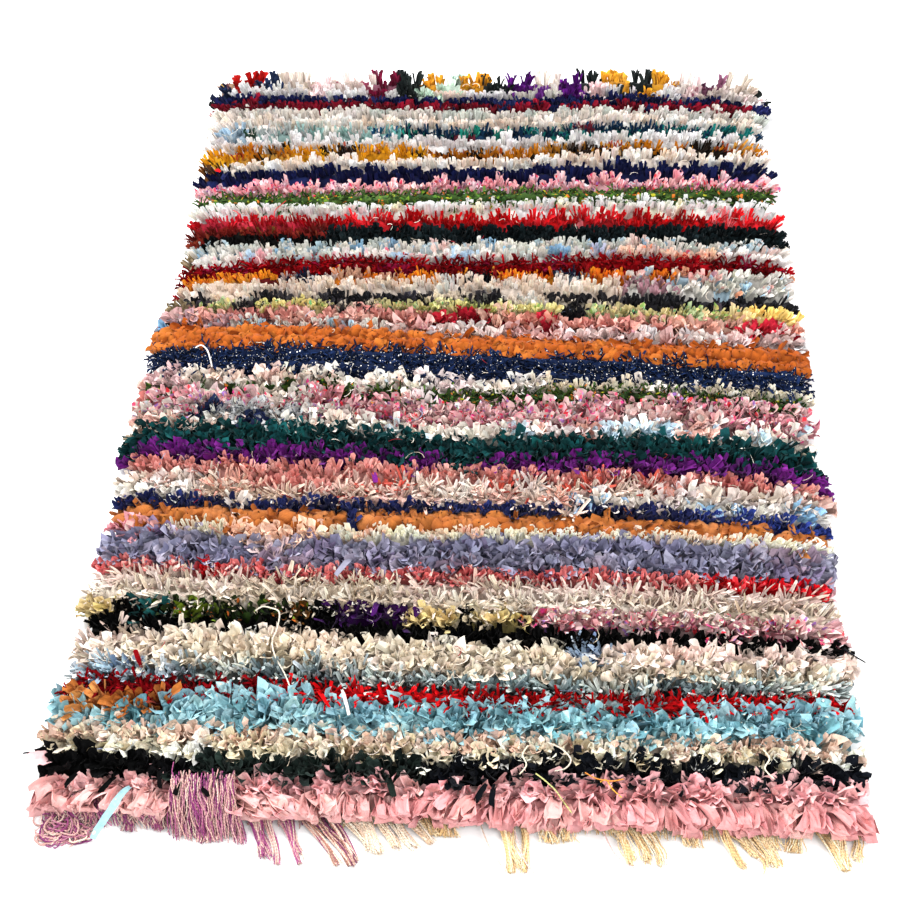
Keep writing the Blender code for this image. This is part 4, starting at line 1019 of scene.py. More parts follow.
def knots_of(batch, rng, drift, row, gaps, lo, hi, start, stop, edge_left, edge_right, cloth, kind, far):
    """Bundles of strips, each bundle splaying from its knot."""
    middle = float(row.y[2])
    count = max(1, int(round(kind.knots * (hi - lo))))
    kx = lo + (np.arange(count) + rng.uniform(0.05, 0.95, count)) / count * (hi - lo)
    stray = rng.uniform(-1, 1, count)
    room = np.where(stray > 0, np.interp(kx, STATIONS, gaps[0]), np.interp(kx, STATIONS, gaps[1]))
    ky = np.interp(kx, STATIONS, row.y) + stray * kind.spread * room * np.sqrt(np.clip(room / 0.031, 0.8, 1.8))
    shared = np.random.default_rng(drift)
    lie_x, lie_y, high = (smooth_noise(shared, kx, reach) for reach in (0.045, 0.060, 0.050))
    nearest = np.minimum(kx - edge_left, edge_right - kx)
    side = np.where(edge_right - kx < kx - edge_left, 1.0, -1.0)
    splay = side * 44.0 * np.exp(-(nearest - 0.012) / 0.028)
    fan = np.sign(kx) * np.clip(np.abs(kx) / 0.6, 0, 1) ** 2.0 * np.where(kx > 0, 17.0, 9.0)
    knot_x = splay + fan + lie_x * 7.0 + rng.normal(0, kind.roam, count)
    knot_y = lie_y * 6.0 + rng.normal(0, kind.roam, count) + (-5.0 if middle < -0.35 else 0.0)
    if far:
        back = ky > np.interp(kx, STATIONS, row.y) + 0.001
        ky = ky + back * 0.008
        knot_y = knot_y + np.where(back, rng.uniform(28.0, 62.0, count), 4.0)
    knot_tall = (0.84 if far else 1.0) + 0.06 * high + rng.normal(0, 0.03, count)
    choice = colours_of(rng, cloth, count)
    m = kind.strips
    of = np.repeat(np.arange(count), m)
    n = count * m
    place = np.tile(np.arange(m), count)
    around = place / m * 2 * math.pi + rng.uniform(0, 2 * math.pi, count)[of] + rng.normal(0, 0.4, n)
    width = draw(rng, kind.wide, n)
    first, last = draw(rng, kind.splay[0], n), draw(rng, kind.splay[1], n)
    tall = draw(rng, kind.tall, n) * knot_tall[of]
    if kind is KINDS["cloth"]:
        heading = -math.pi / 2 + np.radians(np.clip(knot_x, -26.0, 26.0))[of] + rng.normal(0, 0.26, n)
        lean_first, lean_last = np.radians(first), np.radians(last)
        facing = heading + math.pi / 2 + rng.normal(0, 0.18, n)
        offset = np.stack((rng.normal(0, 0.006, n), rng.normal(0, 0.004, n)), -1)
    else:
        offset = np.stack((np.cos(around), np.sin(around)), -1) * rng.uniform(0.001, 0.004, n)[:, None]
        lx, ly = knot_x[of] + last * np.cos(around), knot_y[of] + last * np.sin(around)
        heading = np.arctan2(ly, lx)
        lean_last = np.radians(np.minimum(np.hypot(lx, ly), 128.0))
        lean_first = np.radians(first + 0.45 * np.hypot(knot_x, knot_y)[of])
        plain = np.where(rng.random(n) < 0.5, 0.0, math.pi) + rng.normal(0, 0.45, n)
        facing = np.where(rng.random(n) < kind.petal, around + math.pi / 2 + rng.normal(0, 0.3, n), plain)
    x = np.clip(kx[of] + offset[:, 0], start, stop)
    y = ky[of] + offset[:, 1]
    crown = np.maximum(cad_height(x, y), 0.014)
    if kind is KINDS["cloth"]:
        length = 0.0455 * tall
    else:
        mean_lean = np.clip((lean_first + np.minimum(lean_last, 1.3)) / 2, 0, 1.1)
        length = crown * tall * (1.0 - kind.foot) / np.clip(np.cos(mean_lean * 0.8), 0.64, 1.0)
    root = np.stack((x, y, 0.0030 + kind.foot * crown), -1)
    bend = kind.bend * rng.uniform(0.8, 1.25, n)
    verts = strips(
        rng, root, length, width, lean_first, lean_last, heading, rng.normal(0, 0.25, n), facing, rng.normal(0, kind.twist, n),
        draw(rng, kind.curl[0], n), draw(rng, kind.curl[1], n), np.full(n, 0.06 if kind.across > 2 else 0.0),
        rng.uniform(0.60, 0.92, n), draw(rng, kind.tip, n), rng.normal(0, kind.cut, n),
        kind.crumple * rng.uniform(0.6, 1.4, n), bend, kind.across, kind.along)
    verts = kept_in(verts)
    pick = choice[of]
    loose = rng.random(n) < 0.22
    pick = np.where(loose, rng.choice(len(cloth.tints[1]), size=n, p=cloth.tints[1]), pick)
    tone = np.exp(rng.normal(0, cloth.vary * 0.8, count))[of][:, None]
    tint = tinted_with_painted_shade(rng, cloth.tints[0][pick] * tone, verts, cloth.vary * 0.8)
    batch.add(verts, tint, cloth.material, cloth_map(rng, verts, width, length), kind in CRISP)


def pile_row(batch, row, gaps, index):
    """All strips of one row of knots, fabric by fabric. Gaps: distance to the row behind and in front, at each station."""
    pitch = float(gaps[:, 2].mean())
    rng = np.random.default_rng(SEED + 101 * index)
    middle = float(row.y[2])
    edge_left, edge_right = float(left_edge(middle)), float(right_edge(middle))
    start, stop = edge_left + 0.010, edge_right - 0.010
    if row.stripe == "pink_rags":
        start = edge_left + 0.026
    bounds = [start] + [min(max(x, start), stop) for x, _ in row.runs]
    bounds[-1] = stop
    phases = rng.uniform(0, 2 * math.pi, 6)
    drift = int(rng.integers(1 << 30))
    for number, (_, name) in enumerate(row.runs):
        lo, hi = bounds[number], bounds[number + 1]
        if hi - lo < 0.003:
            continue
        cloth = FABRICS[name]
        kind = KINDS[cloth.kind]
        core_of(batch, rng, phases, row, gaps, lo, hi, start, stop, cloth, kind)
        if kind.puff:
            puffs_of(batch, rng, row, pitch, lo, hi, cloth, kind)
        knots_of(batch, rng, drift, row, gaps, lo, hi, start, stop, edge_left, edge_right, cloth, kind, index == 0)


def build_pile():
    pieces, stripes = [], []
    for row in ROWS:
        if not stripes or stripes[-1] != row.stripe:
            stripes.append(row.stripe)
    for stripe in stripes:
        batch = Batch()
        for index, row in enumerate(ROWS):
            if row.stripe == stripe:
                here = np.array(row.y)
                back = np.array(ROWS[index - 1].y) - here if index else np.full(5, 0.034)
                front = here - np.array(ROWS[index + 1].y) if index + 1 < len(ROWS) else np.full(5, 0.030)
                pile_row(batch, row, np.clip(np.stack((back, front)), 0.020, 0.060), index)
        pieces.append(batch.build("pile_" + stripe))
    return pieces


# ----------------------------------------------------------------------------------------------
# yarns: warp ends, tassels and loose threads
# ----------------------------------------------------------------------------------------------


def tubes(line, radius, sides=4):
    """Round strands along the lines: line (n, m, 3), radius (n, m). Returns (n, m, sides+1, 3)."""
    tangent = np.empty_like(line)
    tangent[:, 1:-1] = line[:, 2:] - line[:, :-2]
    tangent[:, 0], tangent[:, -1] = line[:, 1] - line[:, 0], line[:, -1] - line[:, -2]
    tangent = normalised(tangent)
    up = np.zeros_like(tangent)
    up[..., 2] = 1.0
    flat = np.abs(tangent[..., 2]) > 0.95
    up[flat] = (0.0, 1.0, 0.0)
    side = normalised(np.cross(tangent, up))
    lift = np.cross(side, tangent)
    angle = np.linspace(0, 2 * math.pi, sides + 1)
    ring = side[:, :, None] * np.cos(angle)[None, None, :, None] + lift[:, :, None] * np.sin(angle)[None, None, :, None]
    return line[:, :, None] + ring * radius[:, :, None, None]


def add_yarns(batch, rng, line, radius, colours, material="yarn", sides=4, vary=0.1):
    verts = tubes(line, radius, sides)
    verts[..., 2] = np.maximum(verts[..., 2], 0.0008)
    n = len(line)
    length = np.sum(np.linalg.norm(np.diff(line, axis=1), axis=-1), 1)
    tint = tinted_with_painted_shade(rng, colours, verts, vary, 0.9)
    batch.add(verts, tint, material, cloth_map(rng, verts, radius.mean(1) * 6.28, length))


def wavy(rng, start, end, steps, sway, lift_start, lift_end, curl=1.5, sag=0.0):
    """Lines from start to end that wander sideways and come down to the floor."""
    n = len(start)
    t = np.linspace(0, 1, steps)[None, :, None]
    line = start[:, None] * (1 - t) + end[:, None] * t
    away = normalised(np.stack((-(end - start)[:, 1], (end - start)[:, 0]), -1))
    phase = rng.uniform(0, 2 * math.pi, (n, 1, 3))
    count = rng.uniform(0.7, 1.3, (n, 1)) * curl * math.pi
    wave = np.sin(count * t[..., 0] * 2 + phase[..., 0]) - np.sin(phase[..., 0])
    wave = wave + 0.5 * (np.sin(count * t[..., 0] * 3.7 + phase[..., 1]) - np.sin(phase[..., 1]))
    size = np.broadcast_to(sway, (n,))[:, None] * rng.uniform(0.4, 1.3, (n, 1)) * t[..., 0] ** 0.7
    line[..., 0] += away[:, None, 0] * wave * size
    line[..., 1] += away[:, None, 1] * wave * size
    drop = (1 - t[..., 0]) ** 1.6
    base = np.broadcast_to(lift_start, (n,))[:, None] * drop + np.broadcast_to(lift_end, (n,))[:, None] * (1 - drop)
    line[..., 2] = base + np.abs(np.sin(count * t[..., 0] * 2.3 + phase[..., 2])) * 0.0022 * t[..., 0]
    return line


def front_line(x):
    return -0.902 + 0.006 * np.sin(math.pi * 2.3 * x / 0.645 + 0.9)


# the tassels of the front edge, left to right: place and width at the rug and at the tip, reach past the pile, strands,
# palette and how far single strands wander
Tassel = namedtuple("Tassel", "name root root_wide tip tip_wide reach strands palette sway")
TASSELS = (
    Tassel("frayed_stub", -0.452, 0.080, -0.450, 0.076, 0.026, 34, "mauve", 0.0016),
    Tassel("mauve_fan", -0.362, 0.092, -0.356, 0.074, 0.040, 46, "mauve", 0.0022),
    Tassel("mauve_long", -0.292, 0.050, -0.256, 0.032, 0.068, 34, "mauve", 0.0022),
    Tassel("mauve_thin", -0.246, 0.034, -0.206, 0.018, 0.066, 20, "mauve", 0.0020),
    Tassel("brown_long", -0.206, 0.050, -0.142, 0.030, 0.066, 34, "umber", 0.0020),
    Tassel("peach_fan", -0.135, 0.090, -0.092, 0.084, 0.048, 56, "peach", 0.0022),
    Tassel("peach_wisp", -0.070, 0.030, -0.018, 0.010, 0.030, 12, "peach", 0.0016),
    Tassel("cream_scallop", -0.018, 0.110, -0.010, 0.100, 0.018, 34, "gold", 0.0020),
    Tassel("gold_one", 0.092, 0.046, 0.112, 0.034, 0.068, 32, "gold", 0.0022),
    Tassel("gold_scallop", 0.160, 0.070, 0.162, 0.060, 0.022, 22, "gold", 0.0022),
    Tassel("gold_two", 0.256, 0.070, 0.288, 0.048, 0.052, 34, "gold", 0.0026),
    Tassel("cream_wisp", 0.356, 0.040, 0.364, 0.024, 0.024, 12, "gold", 0.0018),
    Tassel("gold_three", 0.430, 0.070, 0.452, 0.048, 0.050, 34, "gold", 0.0026),
    Tassel("gold_short", 0.494, 0.060, 0.500, 0.050, 0.024, 20, "gold", 0.0020),
    Tassel("gold_four", 0.560, 0.066, 0.584, 0.044, 0.048, 34, "gold", 0.0026),
)
YARN_TINTS = {
    "mauve": (("d0a29c", 4), ("9c4c7c", 2.6), ("b4768c", 2.4), ("dcc2b4", 2), ("80386a", 1.2)),
    "umber": (("a87a6c", 3), ("cfa898", 3), ("74405a", 2), ("dec8b4", 2), ("8e3a6c", 1)),
    "peach": (("f2dcc4", 4), ("ead0b4", 3), ("f6e6d4", 2), ("dcba9c", 1)),
    "gold": (("ecd2a6", 4), ("e3c08a", 3), ("f2e2c6", 2), ("d6b080", 1)),
    "cream": (("e8dccb", 3), ("ddd0bc", 2)),
}


def yarn_colours(rng, palette, n):
    tints = np.array([linear(c) for c, _ in YARN_TINTS[palette]])
    shares = np.array([share for _, share in YARN_TINTS[palette]], float)
    return tints[rng.choice(len(tints), size=n, p=shares / shares.sum())]


def build_fringe():
    pieces = []
    for number, tassel in enumerate(TASSELS):
        rng = np.random.default_rng(SEED + 5000 + number)
        batch = Batch()
        n = int(tassel.strands * 2.5)
        locks = max(2, int(round(tassel.strands / 9)))
        lock = rng.integers(0, locks, n)
        lock_x = (np.arange(locks) + rng.uniform(0.1, 0.9, locks)) / locks - 0.5
        across = lock_x[lock] + rng.normal(0, 0.34 / locks, n)
        start_x = tassel.root + np.clip(lock_x[lock] + rng.uniform(-0.6, 0.6, n) / locks, -0.5, 0.5) * tassel.root_wide
        end_x = tassel.tip + (across * 0.95 + rng.normal(0, 0.16, locks)[lock]) * tassel.tip_wide
        line_y = front_line(start_x)
        reach = tassel.reach * np.clip(rng.normal(0.90, 0.13, locks)[lock] + rng.normal(0, 0.06, n), 0.40, 1.04)
        start = np.stack((start_x, line_y + 0.020 + rng.uniform(-0.004, 0.004, n), np.zeros(n)), -1)
        end = np.stack((end_x, -0.9065 - reach, np.zeros(n)), -1)
        layer = rng.uniform(0, 1, n)
        line = wavy(rng, start, end, 10, tassel.sway * 0.7, 0.006 + 0.010 * layer, 0.0010 + 0.0058 * layer * np.clip(0.05 / tassel.reach, 0.4, 1.0), 1.3)
        t = np.linspace(0, 1, 10)[None]
        turn_at = rng.uniform(0, 2 * math.pi, locks)[lock][:, None]
        swing = rng.uniform(0.002, 0.0065, locks)[lock][:, None] * min(1.0, tassel.reach / 0.05)
        line[..., 0] += swing * (np.sin(t * rng.uniform(2.5, 5.5, locks)[lock][:, None] + turn_at) - np.sin(turn_at)) * np.sin(np.clip(t * 1.2, 0, 1) * math.pi / 2)
        radius = rng.uniform(0.0010, 0.0015, n)[:, None] * np.linspace(1.0, 0.72, 10)[None]
        add_yarns(batch, rng, line, radius, yarn_colours(rng, tassel.palette, n), sides=3)
        pieces.append(batch.build("fringe_" + tassel.name))
    pieces.append(yarn_curtain())
    pieces.append(curled_bunch())
    pieces.append(warp_heading())
    return pieces


def yarn_curtain():
    """Yarn that hangs over the front edge where the front rags leave a gap, and some more to the left of it."""
    rng = np.random.default_rng(SEED + 5150)
    batch = Batch()
    for lo, hi, n, top, reach in ((-0.414, -0.318, 240, 0.043, 0.040), (-0.600, -0.420, 170, 0.022, 0.024)):
        x = np.sort(rng.uniform(lo, hi, n))
        lock = rng.normal(0, 0.006, 12)[np.clip(((x - lo) / (hi - lo) * 12).astype(int), 0, 11)]
        steps = 9
        t = np.linspace(0, 1, steps)[None]
        begin = (-0.862 if top > 0.03 else -0.896) + rng.normal(0, 0.006, n)[:, None]
        finish = -0.902 - reach * np.clip(rng.normal(0.85, 0.16, n), 0.3, 1.1)[:, None]
        y = begin + (finish - begin) * t ** 0.9
        z = (top + rng.uniform(-0.004, 0.006, n)[:, None]) * np.clip(1.0 - t ** 1.8, 0, 1) + rng.uniform(0.0012, 0.007, n)[:, None] * t
        phase = rng.uniform(0, 6.28, n)[:, None]
        sway = rng.uniform(0.0012, 0.0046, n)[:, None] * (np.sin(t * rng.uniform(4, 12, n)[:, None] + phase) - np.sin(phase))
        astray = rng.normal(0, 0.007, n)[:, None]
        line = np.stack((x[:, None] + (lock[:, None] + astray + 0.010) * t ** 1.3 + sway, y, z), -1)
        radius = rng.uniform(0.0008, 0.0013, n)[:, None] * np.linspace(1.0, 0.8, steps)[None]
        add_yarns(batch, rng, line, radius, yarn_colours(rng, "mauve", n), sides=3)
    return batch.build("fringe_yarn_curtain")


def curled_bunch():
    """The tangle of curled yarn ends at the left corner: loops lying over one another."""
    rng = np.random.default_rng(SEED + 5200)
    batch = Batch()
    n, steps = 110, 18
    t = np.linspace(0, 1, steps)[None]
    centre_x = rng.uniform(-0.604, -0.530, n)[:, None]
    centre_y = rng.uniform(-0.950, -0.902, n)[:, None]
    radius = rng.uniform(0.005, 0.018, n)[:, None]
    begin, arc = rng.uniform(0.2, 2.4, n)[:, None], rng.choice((-1, 1), n)[:, None] * rng.uniform(2.2, 5.4, n)[:, None]
    grow = 1.0 + rng.uniform(-0.45, 0.45, n)[:, None] * t
    wobble = 0.0016 * np.sin(t * rng.uniform(8, 16, n)[:, None] + rng.uniform(0, 6, n)[:, None])
    x = centre_x + (radius * grow + wobble) * np.cos(begin + arc * t)
    y = centre_y + (radius * grow * 0.85 + wobble) * np.sin(begin + arc * t)
    y = np.where(y < -0.966, -0.966 + (y + 0.966) * 0.15, y)
    z = 0.0018 + rng.uniform(0, 0.018, n)[:, None] * (0.6 + 0.4 * np.sin(t * 3.1 + rng.uniform(0, 6, n)[:, None])) * np.clip((y + 0.972) / 0.05, 0.15, 1.0)
    line = np.stack((x, y, z), -1)
    thick = rng.uniform(0.0011, 0.0016, n)[:, None] * np.linspace(1.0, 0.85, steps)[None]
    add_yarns(batch, rng, line, thick, yarn_colours(rng, "mauve", n))
    return batch.build("fringe_curled_bunch")


def warp_heading():
    """Short warp ends tucked under the front rags all along the edge."""
    rng = np.random.default_rng(SEED + 5300)
    batch = Batch()
    n = 420
    x = rng.uniform(-0.600, 0.600, n)
    start = np.stack((x, front_line(x) + 0.030, np.zeros(n)), -1)
    end = np.stack((x + rng.normal(0, 0.006, n), front_line(x) - rng.uniform(0.002, 0.012, n), np.zeros(n)), -1)
    line = wavy(rng, start, end, 5, 0.0012, 0.004 + rng.uniform(0, 0.004, n), 0.0012 + rng.uniform(0, 0.004, n), 1.0)
    radius = rng.uniform(0.0009, 0.0014, n)[:, None] * np.linspace(1.0, 0.8, 5)[None]
    colours = np.where((x < -0.16)[:, None], yarn_colours(rng, "mauve", n), yarn_colours(rng, "gold", n))
    add_yarns(batch, rng, line, radius, colours, sides=3)
    return batch.build("fringe_warp_heading")


# ----------------------------------------------------------------------------------------------
# loose ends: threads and single strips that stray over their neighbours
# ----------------------------------------------------------------------------------------------
# threads: colour, radius, height at both ends, then the x, y it runs through
Thread = namedtuple("Thread", "name colour radius lift path")
THREADS = (
    Thread("cream_curl", "e6dcc8", 0.0014, (0.047, 0.046), ((-0.329, -0.563), (-0.319, -0.555), (-0.305, -0.557), (-0.289, -0.566), (-0.288, -0.597), (-0.293, -0.622), (-0.284, -0.650), (-0.266, -0.679), (-0.254, -0.703))),
    Thread("mustard_thread", "d9a03c", 0.0011, (0.049, 0.047), ((0.227, -0.852), (0.236, -0.849), (0.244, -0.862), (0.258, -0.875))),
    Thread("green_thread", "b9b878", 0.0012, (0.052, 0.044), ((0.132, -0.843), (0.144, -0.852), (0.161, -0.868), (0.172, -0.883), (0.185, -0.900))),
    Thread("orange_thread", "d98a3a", 0.0011, (0.050, 0.049), ((0.205, -0.838), (0.222, -0.848), (0.243, -0.851), (0.262, -0.846))),
    Thread("mauve_thread", "8c5a72", 0.0012, (0.046, 0.056), ((-0.594, 0.948), (-0.582, 0.970), (-0.562, 0.992), (-0.538, 1.002))),
    Thread("straw_left", "b08a4c", 0.0012, (0.046, 0.036), ((-0.656, 0.938), (-0.638, 0.926), (-0.618, 0.910))),
    Thread("straw_far", "bd9a62", 0.0012, (0.054, 0.042), ((-0.626, 0.996), (-0.618, 0.974), (-0.610, 0.950))),
    Thread("red_curl", "b8202c", 0.0012, (0.050, 0.047), ((-0.414, 0.479), (-0.424, 0.462), (-0.433, 0.446), (-0.433, 0.429))),
    Thread("red_loop", "c23a40", 0.0012, (0.049, 0.047), ((-0.523, 0.448), (-0.511, 0.438), (-0.504, 0.422))),
    Thread("white_curl", "e9e4da", 0.0016, (0.048, 0.048), ((-0.533, 0.039), (-0.522, 0.045), (-0.508, 0.031), (-0.499, 0.010), (-0.492, -0.011))),
    Thread("left_dark", "17161a", 0.0018, (0.026, 0.038), ((-0.655, -0.822), (-0.640, -0.825), (-0.618, -0.828))),
    Thread("right_dark", "15151a", 0.0018, (0.040, 0.028), ((0.615, -0.602), (0.628, -0.612), (0.648, -0.620))),
    Thread("left_wisp", "9aa58c", 0.0010, (0.020, 0.040), ((-0.664, -0.548), (-0.645, -0.560), (-0.611, -0.576))),
    Thread("right_wisp", "d8ccb8", 0.0010, (0.038, 0.022), ((0.622, -0.800), (0.640, -0.806), (0.660, -0.800))),
    Thread("beige_drop", "ddd2bc", 0.0013, (0.050, 0.046), ((0.470, -0.790), (0.478, -0.806), (0.470, -0.822), (0.482, -0.836))),
    Thread("beige_drop_two", "ddd2bc", 0.0013, (0.050, 0.046), ((0.120, -0.796), (0.112, -0.812), (0.118, -0.828), (0.108, -0.842))),
    Thread("front_wisp_one", "e2cbb8", 0.0011, (0.010, 0.002), ((0.047, -0.894), (0.066, -0.941), (0.084, -0.965))),
    Thread("front_wisp_two", "dcc0b4", 0.0011, (0.010, 0.002), ((0.098, -0.900), (0.119, -0.962), (0.145, -0.986))),
    Thread("front_wisp_three", "d9b8b4", 0.0011, (0.010, 0.002), ((0.228, -0.898), (0.250, -0.947), (0.292, -0.971))),
    Thread("front_wisp_four", "e6d0a8", 0.0011, (0.010, 0.002), ((0.351, -0.883), (0.370, -0.920))),
    Thread("front_wisp_five", "e8cc96", 0.0013, (0.010, 0.002), ((0.387, -0.891), (0.434, -0.922), (0.462, -0.950), (0.461, -0.966))),
    Thread("front_wisp_six", "ecdcc4", 0.0011, (0.010, 0.002), ((-0.091, -0.896), (-0.053, -0.911), (-0.022, -0.920))),
    Thread("beige_loop", "e2d8c4", 0.0013, (0.050, 0.048), ((0.150, -0.790), (0.170, -0.800), (0.184, -0.818), (0.176, -0.832), (0.160, -0.836))),
)
# flaps: fabric, where the strip starts, height there, heading in degrees, length, width, first and last lean
Flap = namedtuple("Flap", "name fabric x y z heading length width lean")
FLAPS = (
    Flap("white_flap", "grey_cream", -0.174, -0.700, 0.036, -70, 0.068, 0.006, (30, 98)),
    Flap("blue_strip", "turquoise", -0.474, -0.878, 0.034, -104, 0.104, 0.015, (40, 116)),
    Flap("black_one", "black_rag", -0.436, -0.846, 0.034, -74, 0.040, 0.008, (40, 105)),
    Flap("black_two", "black_rag", -0.400, -0.856, 0.034, -84, 0.040, 0.009, (40, 105)),
    Flap("black_three", "black_rag", -0.378, -0.866, 0.036, -52, 0.040, 0.008, (50, 100)),
    Flap("black_four", "green_black", -0.090, -0.846, 0.036, -66, 0.042, 0.011, (50, 105)),
    Flap("black_five", "navy_black", 0.060, -0.854, 0.036, -112, 0.038, 0.010, (50, 105)),
    Flap("black_six", "navy_black", 0.073, -0.855, 0.036, -105, 0.040, 0.010, (50, 105)),
    Flap("black_seven", "black_rag", -0.500, -0.862, 0.034, -120, 0.034, 0.009, (50, 105)),
    Flap("black_eight", "black_rag", -0.560, -0.858, 0.034, -110, 0.028, 0.010, (50, 105)),
    Flap("left_pink", "pink_flap", -0.612, -0.836, 0.030, -150, 0.040, 0.030, (30, 92)),
    Flap("violet_end", "violet", -0.129, -0.536, 0.034, -96, 0.040, 0.013, (20, 96)),
    Flap("periwinkle_end", "periwinkle", -0.181, -0.450, 0.036, -112, 0.056, 0.011, (30, 104)),
    Flap("purple_end", "purple", -0.164, -0.258, 0.036, -68, 0.036, 0.010, (30, 100)),
    Flap("red_end", "ruby", -0.500, -0.668, 0.034, 112, 0.030, 0.009, (20, 70)),
    Flap("red_end_two", "scarlet", -0.212, -0.702, 0.034, -64, 0.046, 0.009, (40, 100)),
    Flap("indigo_slip", "indigo", -0.560, 0.590, 0.030, -80, 0.040, 0.016, (30, 92)),
    Flap("red_slip", "red", -0.590, 0.604, 0.030, -60, 0.030, 0.010, (30, 92)),
)


def run_through(path, lift, steps):
    """A smooth line through the points, at even spacing along its parameter."""
    path = np.array(path, float)
    t = np.linspace(0, len(path) - 1, steps)
    i = np.clip(t.astype(int), 0, len(path) - 2)
    f = (t - i)[:, None]
    back = path[np.clip(i - 1, 0, None)]
    ahead = path[np.clip(i + 2, None, len(path) - 1)]
    a, b = path[i], path[i + 1]
    flat = 0.5 * (2 * a + (b - back) * f + (2 * back - 5 * a + 4 * b - ahead) * f ** 2 + (3 * a - back - 3 * b + ahead) * f ** 3)
    z = np.interp(t / t[-1], (0.0, 0.5, 1.0), (lift[0], (lift[0] + lift[1]) / 2 + 0.003, lift[1]))
    return np.concatenate((flat, z[:, None]), 1)


def build_loose():
    pieces = []
    rng = np.random.default_rng(SEED + 7000)
    batch = Batch()
    for thread in THREADS:
        steps = 5 * len(thread.path)
        line = run_through(thread.path, thread.lift, steps)[None]
        radius = thread.radius * np.linspace(1.0, 0.8, steps)[None]
        add_yarns(batch, rng, line, radius, linear(thread.colour)[None])
    pieces.append(batch.build("loose_threads"))
    batch = Batch()
    for flap in FLAPS:
        cloth = FABRICS[flap.fabric]
        one = np.ones(1)
        root = np.array(((flap.x, flap.y, flap.z),))
        heading = math.radians(flap.heading)
        verts = strips(
            rng, root, flap.length * one, flap.width * one, math.radians(flap.lean[0]) * one, math.radians(flap.lean[1]) * one,
            heading * one, rng.normal(0, 0.2, 1), (heading + math.pi / 2) * one, rng.normal(0, 0.35, 1), 1.4 * one, 0.5 * one,
            0.05 * one, 0.7 * one, 0.9 * one, rng.normal(0, 0.4, 1), 0.22 * one, 0.9 * one, 3, 9)
        verts[..., 2] = np.clip(verts[..., 2], 0.0012, CEILING)
        tint = tinted_with_painted_shade(rng, cloth.tints[0][:1], verts, 0.04, 0.9)
        batch.add(verts, tint, cloth.material, cloth_map(rng, verts, flap.width * one, flap.length * one))
    pieces.append(batch.build("loose_strips"))
    # odd thread ends that stand out of the pile everywhere
    batch = Batch()
    n, steps = 220, 6
    x = rng.uniform(-0.60, 0.60, n)
    y = rng.uniform(-0.86, 0.93, n)
    heading = rng.uniform(0, 2 * math.pi, n)
    t = np.linspace(0, 1, steps)[None]
    length = rng.uniform(0.012, 0.034, n)[:, None]
    bend = rng.uniform(-2.2, 2.2, n)[:, None]
    flat = length * t
    line = np.stack((
        x[:, None] + flat * np.cos(heading[:, None] + bend * t), y[:, None] + flat * np.sin(heading[:, None] + bend * t),
        cad_height(x, y)[:, None] * 0.9 + rng.uniform(0.001, 0.007, n)[:, None] * np.sin(t * 2.4)), -1)
    line = kept_in(line)
    radius = rng.uniform(0.0005, 0.0009, n)[:, None] * np.linspace(1.0, 0.6, steps)[None]
    shades = np.array([linear(c) for c in ("d2c9bc", "c9bcaa", "bfae98", "9c1f2a", "15161a", "8490aa")])
    pick = rng.choice(len(shades), size=n, p=(0.36, 0.28, 0.16, 0.07, 0.07, 0.06))
    add_yarns(batch, rng, line, radius, shades[pick], sides=3)
    pieces.append(batch.build("loose_thread_ends"))
    return pieces


# ----------------------------------------------------------------------------------------------
# woven ground
# ----------------------------------------------------------------------------------------------
GROUND_THICK = 0.0030


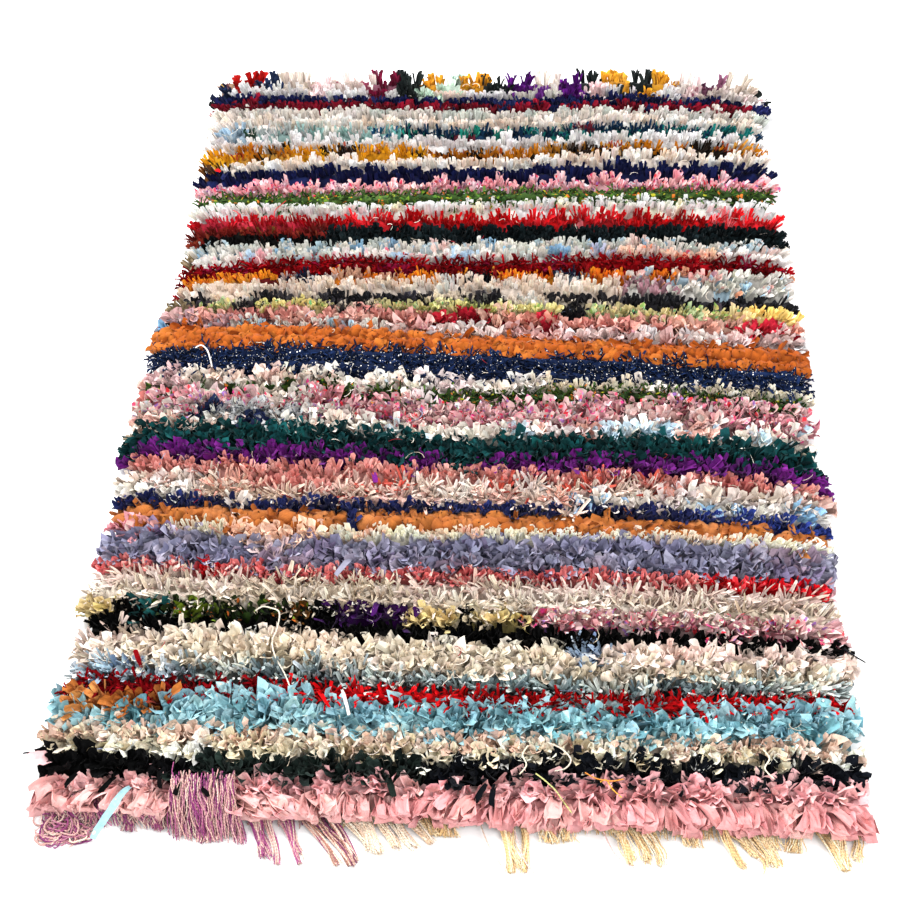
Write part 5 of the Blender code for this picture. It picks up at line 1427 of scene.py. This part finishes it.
def build_ground():
    columns, rows = 44, 66
    share = np.linspace(0, 1, columns + 1)
    ys = np.linspace(LOW[1] + 0.022, HIGH[1] - 0.018, rows + 1)
    rng = np.random.default_rng(SEED + 9)
    wander = rng.normal(0, 0.0012, (2, rows + 1))
    left = np.array([float(left_edge(y)) for y in ys]) + 0.012 + wander[0]
    right = np.array([float(right_edge(y)) for y in ys]) - 0.012 + wander[1]
    x = left[:, None] + share[None] * (right - left)[:, None]
    y = ys[:, None] + 0.0015 * np.sin(x * 21.0)
    relief = 0.0003 * np.sin(x * 400.0) * np.sin(y * 310.0)
    top = np.stack((x, y, GROUND_THICK + relief), -1)
    bottom = np.stack((x, y, np.full_like(x, 0.0003)), -1)
    positions = np.concatenate((top.reshape(-1, 3), bottom.reshape(-1, 3)))
    faces = []
    w = columns + 1
    shift = (rows + 1) * w
    for j in range(rows):
        for i in range(columns):
            a = j * w + i
            faces.append((a, a + 1, a + w + 1, a + w))
            faces.append((shift + a, shift + a + w, shift + a + w + 1, shift + a + 1))
    for i in range(columns):
        faces.append((i + 1, i, shift + i, shift + i + 1))
        a = rows * w + i
        faces.append((a, a + 1, shift + a + 1, shift + a))
    for j in range(rows):
        a = j * w
        faces.append((a, a + w, shift + a + w, shift + a))
        a = j * w + columns
        faces.append((a + w, a, shift + a, shift + a + w))
    mesh = bpy.data.meshes.new("ground_weave")
    mesh.from_pydata([tuple(p) for p in positions], [], faces)
    mesh.update()
    mesh.materials.append(MATERIALS["ground"])
    piece = bpy.data.objects.new("ground_weave", mesh)
    bpy.context.scene.collection.objects.link(piece)
    return piece, float(right.mean() - left.mean()), float(ys[-1] - ys[0])


# ----------------------------------------------------------------------------------------------
# stage
# ----------------------------------------------------------------------------------------------


def build_stage():
    mesh = bpy.data.meshes.new("floor")
    size = 12.0
    mesh.from_pydata([(-size, -size, 0), (size, -size, 0), (size, size, 0), (-size, size, 0)], [], [(0, 1, 2, 3)])
    floor = bpy.data.objects.new("floor", mesh)
    bpy.context.scene.collection.objects.link(floor)
    n = Nodes("pale_floor", 0.9, 0.0)
    n.shader.inputs["Base Color"].default_value = (0.92, 0.92, 0.92, 1.0)
    mesh.materials.append(n.mat)

    world = bpy.data.worlds.new("studio")
    world.use_nodes = True
    background = world.node_tree.nodes["Background"]
    background.inputs["Color"].default_value = (1.0, 1.0, 1.0, 1.0)
    background.inputs["Strength"].default_value = 1.10
    bpy.context.scene.world = world

    def soft_box(name, place, target, size, power, colour=(1, 1, 1)):
        data = bpy.data.lights.new(name, "AREA")
        data.shape, data.size, data.size_y, data.energy, data.color = "RECTANGLE", size[0], size[1], power, colour
        lamp = bpy.data.objects.new(name, data)
        bpy.context.scene.collection.objects.link(lamp)
        lamp.location = place
        direction = Vector(target) - Vector(place)
        lamp.rotation_euler = direction.to_track_quat("-Z", "Y").to_euler()

    soft_box("key", (-1.6, 1.2, 3.4), (0.0, 0.1, 0.0), (2.2, 2.2), 255.0)
    soft_box("fill", (2.4, -1.8, 2.8), (0.0, -0.1, 0.0), (2.6, 2.6), 85.0)
    scene = bpy.context.scene
    scene.view_settings.view_transform = "Standard"
    scene.view_settings.look = "None"
    scene.view_settings.exposure = 0.0


# ----------------------------------------------------------------------------------------------
# put together
# ----------------------------------------------------------------------------------------------
build_stage()
ground, ground_width, ground_length = build_ground()
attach(ground, "root")
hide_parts("rug_body")
pile = build_pile()
for piece in pile:
    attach(piece, "root")
    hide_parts("rug_body")
fringe = build_fringe()
for piece in fringe:
    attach(piece, "root")
    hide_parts("warp_fringe")
loose = build_loose()
for piece in loose:
    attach(piece, "root")
